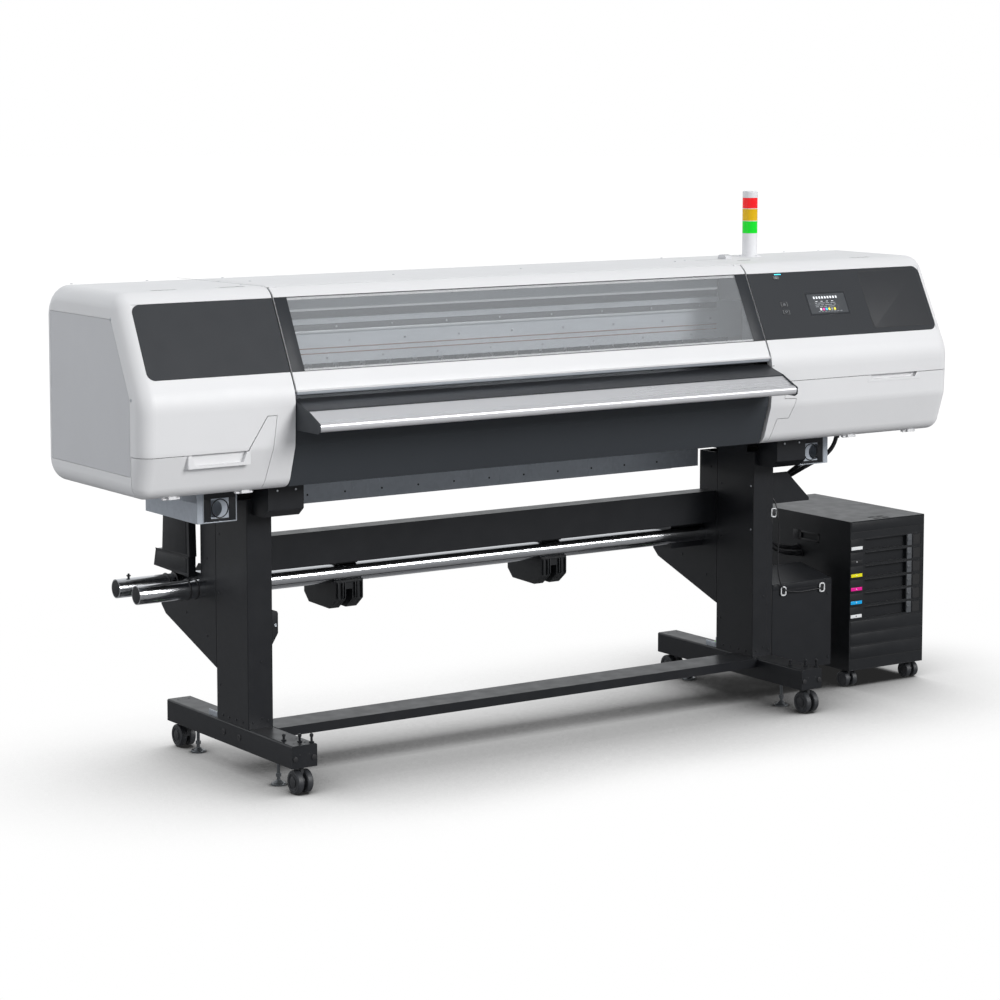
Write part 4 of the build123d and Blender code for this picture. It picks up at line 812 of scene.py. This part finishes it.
def panel_details():
    """The status light, the plain inset, and the marks on the keys."""
    Piece().slab(791, 817, 104.6, 107.2, -0.1, 0.5, corner=1.0).done("status_light", "led_cyan")
    inset = Piece().slab(1134, 1382, -92.5, 101.5, -0.2, 0.45, corner=9.0)
    inset.done("fascia_inset", "inset_gloss")
    outline = Piece()
    for x0, x1, low, high in ((1132.6, 1134.2, -86, 95), (1381.8, 1383.4, -86, 95),
                              (1141, 1375, -94.1, -92.4), (1141, 1375, 101.4, 103.1)):
        outline.slab(x0, x1, low, high, -0.1, 0.3, soft=0)
    outline.done("fascia_inset_edge", "plug_black")
    x, up = slope_place("power_button")
    out = proud("power_button") - 0.05
    # The marks glow a little: a painted highlight on print.
    mark = Piece()
    arc = [math.radians(a) for a in range(125, 416, 15)]
    mark.wire([on_slope(x + 3.4 * math.cos(a), up + 3.4 * math.sin(a), out) for a in arc], 0.38)
    mark.wire([on_slope(x, up + 1.0, out), on_slope(x, up + 4.6, out)], 0.38)
    mark.done("power_mark", "glyph_painted_glow", "power_button")
    for node, sign in (("key_upper", 1), ("key_lower", -1)):
        x, up = slope_place(node)
        out = proud(node) - 0.05
        rim = Piece().slab(x - 10.5, x + 10.5, up - 6.6, up + 6.6, out - 0.2, out + 0.25, corner=2.0)
        rim.done(node + "_face", "inset_gloss", node)
        mark = Piece()
        arrow = ((-4, -1.6), (0, 2.0), (4, -1.6))
        bar = ((-4, -3.6), (4, -3.6))
        for shape, radius in ((arrow, 0.45), (bar, 0.4)):
            mark.wire([on_slope(x + a, up + b * sign, out + 0.3) for a, b in shape], radius)
        mark.done(node + "_mark", "glyph_painted_glow", node)


def screen_details():
    """A plain stand-in for the menu: marks, dashes and colour chips, with no words."""
    x0, x1 = SCREEN.x0, SCREEN.x1
    up = slope_place("touch_screen")[1]
    out = proud("touch_screen")
    ground = Piece().slab(x0 + 5, x1 - 5, up - 33, up + 33, out - 0.1, out + 0.12, corner=2.0, soft=0)
    ground.done("screen_ground", "screen_ground")
    out += 0.14
    marks = Piece()
    for x in spaced(x0 + 32, x1 - 40, 9):
        marks.slab(x - 3.2, x + 3.2, up + 17, up + 25, out - 0.1, out + 0.1, corner=1.2, soft=0)
    for x in spaced(x0 + 38, x1 - 60, 4):
        marks.slab(x - 4, x + 4, up + 7, up + 8.6, out - 0.1, out + 0.1, soft=0)
    marks.done("screen_marks", "pixel_white")
    dashes = Piece()
    for row, widths in enumerate(((9, 26, 14, 20), (18, 12, 30, 10), (12, 12, 12, 26))):
        x = x0 + 30
        for width in widths:
            dashes.slab(x, x + width, up + 1 - 6 * row, up + 3 - 6 * row, out - 0.1, out + 0.1, soft=0)
            x += width + 5
    for x in spaced(x0 + 40, x1 - 34, 8):
        dashes.slab(x - 4, x + 4, up - 27.5, up - 26, out - 0.1, out + 0.1, soft=0)
    dashes.done("screen_dashes", "pixel_grey")
    chips = ("pixel_white", "pixel_magenta", "pixel_cyan", "pixel_yellow", "pixel_grey", "pixel_yellow")
    for index, (x, finish) in enumerate(zip(spaced(x0 + 48, x1 - 58, 6), chips)):
        chip = Piece().slab(x - 3.6, x + 3.6, up - 23, up - 15, out - 0.1, out + 0.12, corner=0.8, soft=0)
        chip.done(f"screen_chip_{index + 1}", finish)


# ---- Housings ----

def housing_details():
    """Screws, seams and the latch on top, screws on the ends, and the signal lamp's rims and ribs."""
    top = BODY_TOP
    screws = Piece()
    for x, y in ((-1054, 74), (-1057, -66), (-967, 45), (572, 43), (634, 72), (646, 210), (-967, 210),
                 (-480, 45), (-20, 45), (1180, 236), (1330, 236), (-1440, 236), (-1200, 236)):
        screws.disc((x, y, top - 0.2), Z_AXIS, 4.6, 0.5, soft=0.2, sides=20)
        screws.screw((x, y, top + 0.1), Z_AXIS, 3.2, 1.0)
    screws.done("top_screws", "zinc_screw")
    ends = Piece()
    for y, z in ((-134, 1352), (-251, 1140)):
        ends.disc((BODY_LEFT + 0.4, y, z), LEFT, 5.2, 0.6, soft=0.2)
        ends.disc((RIGHT_BODY.x1 - 0.2, y, z), X_AXIS, 5.2, 0.9, soft=0.2)
    ends.done("end_screws", "zinc_screw")
    lines = Piece()
    lines.prism([(-1033, -148, top - 0.2), (-1031.8, -148, top - 0.2), (-1074, 290, top - 0.2),
                 (-1075.2, 290, top - 0.2)], Vector((0, 0, 0.35)), soft=0)
    lines.box(OPEN_RIGHT, 776, 52.6, 53.4, top - 0.2, top + 0.15, soft=0)
    lines.box(765, 817, -36.5, -31.5, top - 0.2, top + 0.2, soft=0)
    for x0 in (OPEN_LEFT - 365, OPEN_LEFT - 150, OPEN_RIGHT + 496):
        lines.box(x0 - 1.5, x0 + 77.5, -130, -128.2, top - 0.2, top + 0.2, soft=0)
        lines.box(x0 - 1.5, x0 + 77.5, -119.8, -118.4, top - 0.2, top + 0.2, soft=0)
        lines.box(x0 + 1, x0 + 75, -127.5, -120.5, top - 3.5, top - 2.5, soft=0)
    lines.done("top_seams", "recess")
    outline = [(40, top - 0.3), (44, top + 12), (60, top + 15), (78, top + 13), (84, top - 0.3)]
    latch = Piece().across(outline, 776, 802, 2.0)
    latch.done("top_latch", "panel_grey")
    rims = Piece()
    for z in (1500, 1541, 1581, 1617):
        rims.disc((POST.x, POST.y, z - 0.9), Z_AXIS, 24.75, 1.8, soft=0, sides=48)
    rims.done("lamp_rims", "clip_white")
    for node in ("lamp_lens_green", "lamp_lens_amber", "lamp_lens_red"):
        lens = Span(node)
        ribs = Piece()
        for z in spaced(lens.z0 + 5, lens.z1 - 5, 7):
            ribs.ring((lens.x, lens.y, z), Z_AXIS, LENS_RADIUS, 0.5, sides=48, around=6)
        ribs.done(node + "_ribs", node.removeprefix("lamp_"))
    base = Piece().disc((POST.x, POST.y, top - 0.2), Z_AXIS, 38, 3.2, soft=1.0, sides=48)
    base.done("lamp_flange", "lamp_white")
    studs = Piece()
    for a in (30, 150, 270):
        turn = math.radians(a)
        place = (POST.x + 33 * math.cos(turn), POST.y + 33 * math.sin(turn), top + 2.9)
        studs.screw(place, Z_AXIS, 3.0, 1.4)
    studs.done("lamp_studs", "zinc_screw")


# ---- Under the body ----

def underside_details():
    """Guide plates' screws, the lifting frames' edges, the power inlet and the rear vents."""
    front = PLATES.y1 - 2.0
    screws = Piece()
    for x in spaced(PLATES.x0 + 60, PLATES.x1 - 170, 13):
        for z in (762, 846):
            screws.screw((x, front + 0.05, z), FRONT, 3.2, 1.3)
    screws.done("guide_plate_screws", "dark_screw")
    edges = Piece()
    for x0 in LIFTING_FRAMES:
        x1 = x0 + LIFTING_WIDTH
        edges.box(x0, x1, -151.4, -148, 765.2, 768.4, soft=0.5)
        edges.box(x1 - 3.2, x1 + 0.3, -151.4, -148, 768, 863, soft=0.5)
        edges.box(x0 - 0.3, x0 + 2.2, -151.4, -148, 768, 863, soft=0.5)
    edges.done("lifting_frame_edges", "bright_sheet")
    webs = Piece()
    for x0 in LIFTING_FRAMES:
        ring = Vector((x0 + LIFTING_WIDTH / 2, -150.6, 805))
        webs.ring(ring, FRONT, 26.2, 1.6, sides=48)
        for a, b, z0, z1 in ((3, 104, 834, 862), (3, 25, 768, 834), (82, 104, 768, 834), (25, 82, 768, 777)):
            outline = [(x0 + a, z0), (x0 + b, z0), (x0 + b, z1), (x0 + a, z1)]
            webs.upright(outline, -150.8, -149.8, 0.2)
    webs.done("lifting_frame_webs", "stand_paint")
    inlet = Piece()
    inlet.box(RIGHT_BODY.x1 - 140, RIGHT_BODY.x1 - 90, 289, 293.2, 916, 946, soft=1.0)
    inlet.box(RIGHT_BODY.x1 - 146, RIGHT_BODY.x1 - 84, 289, 292.2, 908, 954, soft=0.8)
    inlet.done("power_inlet_frame", "plug_black")
    pins = Piece()
    for x in (-127, -115, -103):
        pins.box(RIGHT_BODY.x1 + x - 1, RIGHT_BODY.x1 + x + 1, 290, 294, 927, 935, soft=0.2)
    pins.done("power_inlet_pins", "zinc_screw")
    vents = Piece()
    for x in spaced(OPEN_RIGHT + 90, OPEN_RIGHT + 330, 15):
        vents.box(x - 3, x + 3, 290.5, 292.3, 1190, 1290, soft=0.2)
        vents.box(x - 1300, x - 1294, 290.5, 292.3, 1190, 1290, soft=0.2)
    vents.done("rear_vents", "recess")


# ---- Stand ----

def clip(piece, x, y, z, width=19, height=27):
    """A wire loop in a clip, seen from the front."""
    w, h = width / 2, height / 2
    outline = [(x + a, y - 5, z + b) for a, b in rounded_outline(-w, w, -h, h, 6.0)]
    piece.wire(outline + outline[:2], 2.3)


def stand_details():
    """Screws, seams, plugs, pegs and level vials on the stand."""
    front = COLUMNS.y0
    dark = Piece()
    for column in BOTH_COLUMNS:
        left = column - COLUMN_WIDTH / 2
        for x in (column - 25, column + 25):
            dark.screw((x, front + 0.1, 163), FRONT, 3.6, 1.6)
        for y in (-58, -20, 22, 60):
            dark.screw((left + 0.1, y, 160), LEFT, 3.6, 1.6)
        for z in (248, 519, 692):
            dark.screw((left + 0.1, 74, z), LEFT, 3.4, 1.5)
        for z in (172, 338, 764):
            dark.screw((column + 4, front + 0.1, z), FRONT, 3.2, 1.5)
        for y, z in ((130, 740), (150, 610), (150, 380), (280, 430)):
            dark.screw((left + 0.1, y, z), LEFT, 3.6, 1.6)
    dark.done("stand_screws", "dark_screw")
    seams = Piece()
    x = RIGHT_COLUMN + 17
    seams.box(x, x + 1.2, front - 0.25, front + 0.5, 160, 762, soft=0)
    for z0, z1 in ((575, 612), (306, 360), (150, 175)):
        seams.box(COLUMNS.x1 - 6.5, COLUMNS.x1 - 2.5, front - 0.25, front + 0.5, z0, z1, soft=0)
    seams.done("column_seams", "recess")
    plugs = Piece()
    for column in BOTH_COLUMNS:
        for side, axis in ((-1, LEFT), (1, X_AXIS)):
            for y in (56, -37):
                centre = (column + side * (COLUMN_WIDTH / 2 - 0.2), y, 111)
                plugs.disc(centre, axis, 10.5, 1.2, soft=0.5, sides=28)
                plugs.ring((column + side * (COLUMN_WIDTH / 2 + 0.9), y, 111), axis, 6.0, 0.7)
        for x in (-30, 30):
            centre = (column + x, FEET.y0 + 0.3, 106)
            plugs.disc(centre, FRONT, 8.0, 3.0, soft=1.0, sides=24)
            plugs.disc((column + x * 0.5, FEET.y0 + 0.2, 116), FRONT, 2.6, 0.5, soft=0.1, sides=14)
        for y in (-312, -262, 382):
            plugs.disc((column - 18, y, FEET.z1 - 0.2), Z_AXIS, 4.0, 0.5, soft=0.2, sides=16)
            plugs.disc((column + 18, y, FEET.z1 - 0.2), Z_AXIS, 4.0, 0.5, soft=0.2, sides=16)
    plugs.done("foot_plugs", "plug_black")
    pegs = Piece()
    for column in BOTH_COLUMNS:
        for x, y, height in ((-22, -262, 20), (8, -300, 24), (32, -325, 27)):
            place = (column + x, y, FEET.z1 - 0.5)
            pegs.disc(place, Z_AXIS, 7.5, 4.0, soft=0.8, sides=6)
            pegs.disc(place, Z_AXIS, 3.6, height, soft=1.2, sides=18)
            collar = (column + x, y, FEET.z1 + height * 0.62)
            pegs.disc(collar, Z_AXIS, 5.4, height * 0.3, soft=1.4, sides=18)
    pegs.done("foot_pegs", "stand_paint")
    tab = Piece()
    x = LEFT_COLUMN + COLUMN_WIDTH / 2
    tab.upright([(x - 0.5, 486), (x + 16, 480), (x + 19, 474), (x + 19, 416), (x + 8, 398), (x - 0.5, 384)],
                front + 1, front + 4, 0.6)
    tab.done("column_tab", "stand_paint")
    hole = Piece()
    hole.ring((x + 10.5, front + 0.9, 440), FRONT, 3.6, 0.9)
    hole.disc((x + 10.5, front + 1.2, 440), FRONT, 3.4, 0.4, soft=0)
    hole.done("column_tab_hole", "bright_sheet")
    brackets = Piece()
    vials = Piece()
    for column in BOTH_COLUMNS:
        x = column - COLUMN_WIDTH / 2
        brackets.box(x + 4, x + 50, 100, 154, FEET.z1 - 0.2, FEET.z1 + 4, soft=0.8)
        brackets.box(x + 4, x + 8, 100, 154, FEET.z1 + 2, FEET.z1 + 17, soft=0.8)
        brackets.box(x + 4, x + 34, 99, 103, FEET.z1 + 2, FEET.z1 + 34, soft=0.8)
        vials.disc((x + 22, 116, FEET.z1 + 3.6), Z_AXIS, 11, 13, soft=2.0, sides=32)
        vials.disc((x + 22, 116, FEET.z1 + 16), Z_AXIS, 8.2, 2.4, soft=1.0, sides=32)
    brackets.done("level_brackets", "bright_sheet")
    # The vials glow a little: a painted highlight.
    vials.done("level_vials", "vial_green_painted_glow")
    guards = Piece()
    for column in BOTH_COLUMNS:
        for x in (column + 6, column + 66):
            guards.screw((x, -187.9, 846), FRONT, 3.4, 1.6)
        for y, z in ((-40, 842), (30, 842)):
            guards.screw((column - 70.9, y, z), LEFT, 4.2, 1.8)
    for y, z in ((-80, 700), (-80, 560)):
        guards.screw((RIGHT_COLUMN - COLUMN_WIDTH / 2 + 0.1, y, z), LEFT, 3.4, 1.6)
    guards.done("bracket_screws", "zinc_screw")


def media_details():
    """The shafts' ends and collars, the media boxes' panels, and the roll rests' prongs."""
    caps = Piece()
    for y in SHAFT_YS:
        caps.disc((SHAFTS.x0 + 2.0, y, SHAFTS.z), LEFT, 25.5, 1.4, soft=0.5, sides=40)
        caps.disc((SHAFTS.x1 - 2.0, y, SHAFTS.z), X_AXIS, 25.5, 2.4, soft=0.5, sides=40)
    caps.done("shaft_caps", "carriage_black")
    stud = Piece()
    x, z = SHAFTS.x0 + 42, SHAFTS.z1 - 0.6
    stud.disc((x, 310, z), Z_AXIS, 3.4, 6, soft=0.4, sides=18)
    stud.disc((x, 310, z + 5.5), Z_AXIS, 6.4, 4.5, soft=1.6, sides=24)
    stud.disc((x, 310, z + 9.8), Z_AXIS, 3.0, 4.2, soft=1.0, sides=18)
    stud.done("shaft_stud", "dark_screw")
    collars = Piece()
    for y in SHAFT_YS:
        for x in (LEFT_COLUMN - 66, LEFT_COLUMN - 92):
            collars.ring((x, y, SHAFTS.z), X_AXIS, 29.0, 2.6, sides=40)
    collars.done("shaft_collars", "plug_black")
    box_x = LEFT_COLUMN - COLUMN_WIDTH / 2 - 24
    marks = Piece()
    for y, z in ((330, 742), (270, 734)):
        marks.disc((box_x + 0.2, y, z), LEFT, 7.0, 0.6, soft=0.2, sides=24)
    marks.across([(218, 605), (428, 603), (428, 606), (218, 608)], box_x - 0.3, box_x + 0.4, soft=0)
    marks.across([(300, 470), (318, 470), (322, 462), (310, 456), (298, 462)], LEFT_COLUMN - 41.4,
                 LEFT_COLUMN - 40.8, soft=0)
    marks.done("media_box_holes", "recess")
    trim = Piece()
    trim.across([(230, 612), (374, 610), (360, 836), (234, 838)], box_x - 1.2, box_x + 0.2, soft=0.6)
    trim.across([(232, 556), (426, 558), (414, 598), (232, 600)], box_x - 1.2, box_x + 0.2, soft=0.6)
    trim.done("media_box_panels", "tray_black")
    for body in ("roll_rest_1", "roll_rest_2"):
        rest = Span(body)
        ribs = Piece()
        for x in (rest.x0 + 6, rest.x0 + 22, rest.x0 + 30, rest.x1 - 30, rest.x1 - 22, rest.x1 - 6):
            ribs.across([(rest.y0 - 7, 492), (rest.y0 - 7, 446), (rest.y0 + 22, 421), (rest.y0 + 24, 430),
                         (rest.y0 + 1, 450), (rest.y0 + 1, 492)], x - 2, x + 2, soft=0.6)
        ribs.box(rest.x0 + 2, rest.x1 - 2, rest.y0 - 2.5, rest.y0 + 1, 490, 496, soft=0.6)
        ribs.done(body + "_ribs", "carriage_black", body)


def waste_details():
    """The lead's clips, and the waste box's lid, screws and lever."""
    clips = Piece()
    clip(clips, 877, COLUMNS.y0 + 4, 609)
    clip(clips, 917, WASTE.y0, 348)
    clip(clips, 1080, WASTE.y0, 345)
    clips.done("lead_clips", "clip_white")
    pads = Piece()
    for x, z in ((877, 609), (917, 348), (1080, 345)):
        pads.box(x - 7, x + 5, WASTE.y0 - 3.4, WASTE.y0 + 0.5, z - 10, z + 10, soft=1.2)
    pads.done("lead_clip_pads", "plug_black")
    seam = Piece().box(WASTE.x0 + 4, WASTE.x1 - 4, WASTE.y0 - 0.3, WASTE.y0 + 0.4, 349.4, 350.6, soft=0)
    seam.done("waste_lid_seam", "recess")
    lid = Piece().box(WASTE.x0 + 3, WASTE.x1 - 3, WASTE.y0 - 1.2, WASTE.y0 + 0.5, 352, 370, soft=0.8)
    lid.done("waste_lid_edge", "stand_paint")
    screws = Piece()
    for x, z in ((1100, 366), (1108, 322), (WASTE.x0 + 12, 110), (WASTE.x1 - 12, 110)):
        screws.screw((x, WASTE.y0 - 1.1, z), FRONT, 3.4, 1.5)
    screws.done("waste_screws", "dark_screw")
    lever = Piece()
    lever.disc((WASTE.x0 + 2, -20, 404), X_AXIS, 5.0, 44, soft=1.2, sides=20)
    lever.disc((WASTE.x0 + 44, -20, 404), X_AXIS, 7.0, 8, soft=2.0, sides=20)
    lever.done("waste_lever", "bright_sheet")


# ---- Ink cabinet ----

def cabinet_details():
    """The cabinet's seams, panels and handle, and each tray's face."""
    front = CABINET.y0
    x0, x1 = CABINET.x0, CABINET.x1
    seams = Piece()
    for z in (518, 181, 139, 93):
        seams.box(x0 + 2, x1 - 2, front - 0.3, front + 0.3, z - 0.6, z + 0.6, soft=0)
    for i in range(7):
        z = 496 - TRAY_PITCH * i
        seams.box(x0 + 2, x1 - 2, front - 0.2, front + 1.2, z - 0.55, z + 0.55, soft=0)
    for a in (1294, 1331):
        for y in (-112, -84):
            seams.box(a, a + 28, y, y + 16, CABINET.z1 - 0.3, CABINET.z1 + 0.2, soft=0)
    seams.box(x0 - 0.3, x0 + 0.3, 138, 139.4, 462, 497, soft=0)
    seams.done("cabinet_seams", "recess")
    plates = Piece()
    for out, z0, z1 in ((1.0, 521, 550), (0.8, 184, 221), (0.8, 142, 178), (0.8, 96, 136)):
        plates.box(x0 + 5, x1 - 5, front - out, front + 0.5, z0, z1, soft=0.6)
    plates.box(x0 - 0.8, x0 + 0.5, 142, 170, 464, 495, soft=0.5)
    plates.done("cabinet_panels", "cabinet_black")
    frames = Piece()
    sides = ((36, 42, 464, 495), (129, 135, 464, 495), (36, 135, 489, 495), (36, 135, 464, 470))
    for y0, y1, z0, z1 in sides:
        frames.box(x0 - 1.0, x0 + 0.2, y0, y1, z0, z1, soft=0.3)
    frames.done("cabinet_handle_frame", "plug_black")
    for i, finish in enumerate(TRAY_FINISHES):
        body = f"ink_tray_{i + 1}"
        tray = Span(body)
        middle = tray.z
        plate = Piece()
        plate.box(x0 + 1, x0 + 55, front - 1.2, front + 0.3, tray.z0 + 0.6, tray.z1 - 0.6, soft=0.6)
        plate.box(x0 + 66, x0 + 246, front - 1.0, front + 1.0, tray.z1 - 4.5, tray.z1 - 1.0, soft=0.4)
        plate.done(body + "_plate", "tray_black", body)
        label = Piece().box(x0 + 4, x0 + 52, front - 1.7, front - 1.1, middle - 13.5, middle - 2.5, soft=0.2)
        label.done(body + "_label", finish, body)
        dot = Piece().disc((x0 + 28, front - 1.6, middle - 8), FRONT, 2.0, 0.3, soft=0, sides=16)
        dot.done(body + "_label_dot", "ink_black" if i == 5 else "ink_white", body)
        lever = Piece()
        lever.box(x1 - 74, x1 - 54, front - 0.8, front + 10, tray.z0 + 3, tray.z1 - 3, soft=1.2)
        lever.box(x1 - 72, x1 - 56, front - 2.6, front, middle - 4, middle + 4, soft=1.0)
        lever.done(body + "_lever", "tray_grey", body)
        cell = Piece().box(x1 - 48, x1 - 16, front - 0.4, front + 0.4, tray.z0 + 5, tray.z1 - 5, soft=0)
        cell.done(body + "_cell", "recess", body)
        lip = Piece()
        for a, b in ((x1 - 50, x1 - 47.5), (x1 - 16.5, x1 - 14)):
            lip.box(a, b, front - 1.0, front + 0.3, tray.z0 + 4, tray.z1 - 4, soft=0.3)
        lip.box(x1 - 50, x1 - 14, front - 1.0, front + 0.3, tray.z1 - 5.5, tray.z1 - 3.0, soft=0.3)
        lip.done(body + "_cell_frame", "tray_black", body)


def caster_details():
    """Hubs, tread rings and a stem collar on each of the stand's casters."""
    for side in ("left", "right"):
        for end in ("front", "rear"):
            name = f"{side}_{end}_caster"
            fork = Span(name + "_fork")
            wheels = Span(name + "_wheels")
            hubs = Piece()
            for x, axis in ((wheels.x0 + 0.2, LEFT), (wheels.x1 - 0.2, X_AXIS)):
                hubs.disc((x, wheels.y, wheels.z), axis, 15, 0.9, soft=0.4, sides=32)
                hubs.ring((x + 0.4 * axis.x, wheels.y, wheels.z), axis, 24, 0.8, sides=40)
            hubs.done(name + "_hubs", "caster_black", name + "_wheels")
            stem = Piece().disc((fork.x, fork.y0 + 30, fork.z1 - 14), Z_AXIS, 13, 5, soft=1.0, sides=28)
            stem.done(name + "_collar", "dark_screw", name + "_swivel")


for make in (
    make_camera, make_cords, make_floor, make_light, hood_details, bay_details, deck_details, panel_details,
    screen_details, housing_details, underside_details, stand_details, media_details, waste_details,
    cabinet_details, caster_details,
):
    make()
bpy.context.scene.view_settings.view_transform = "Standard"
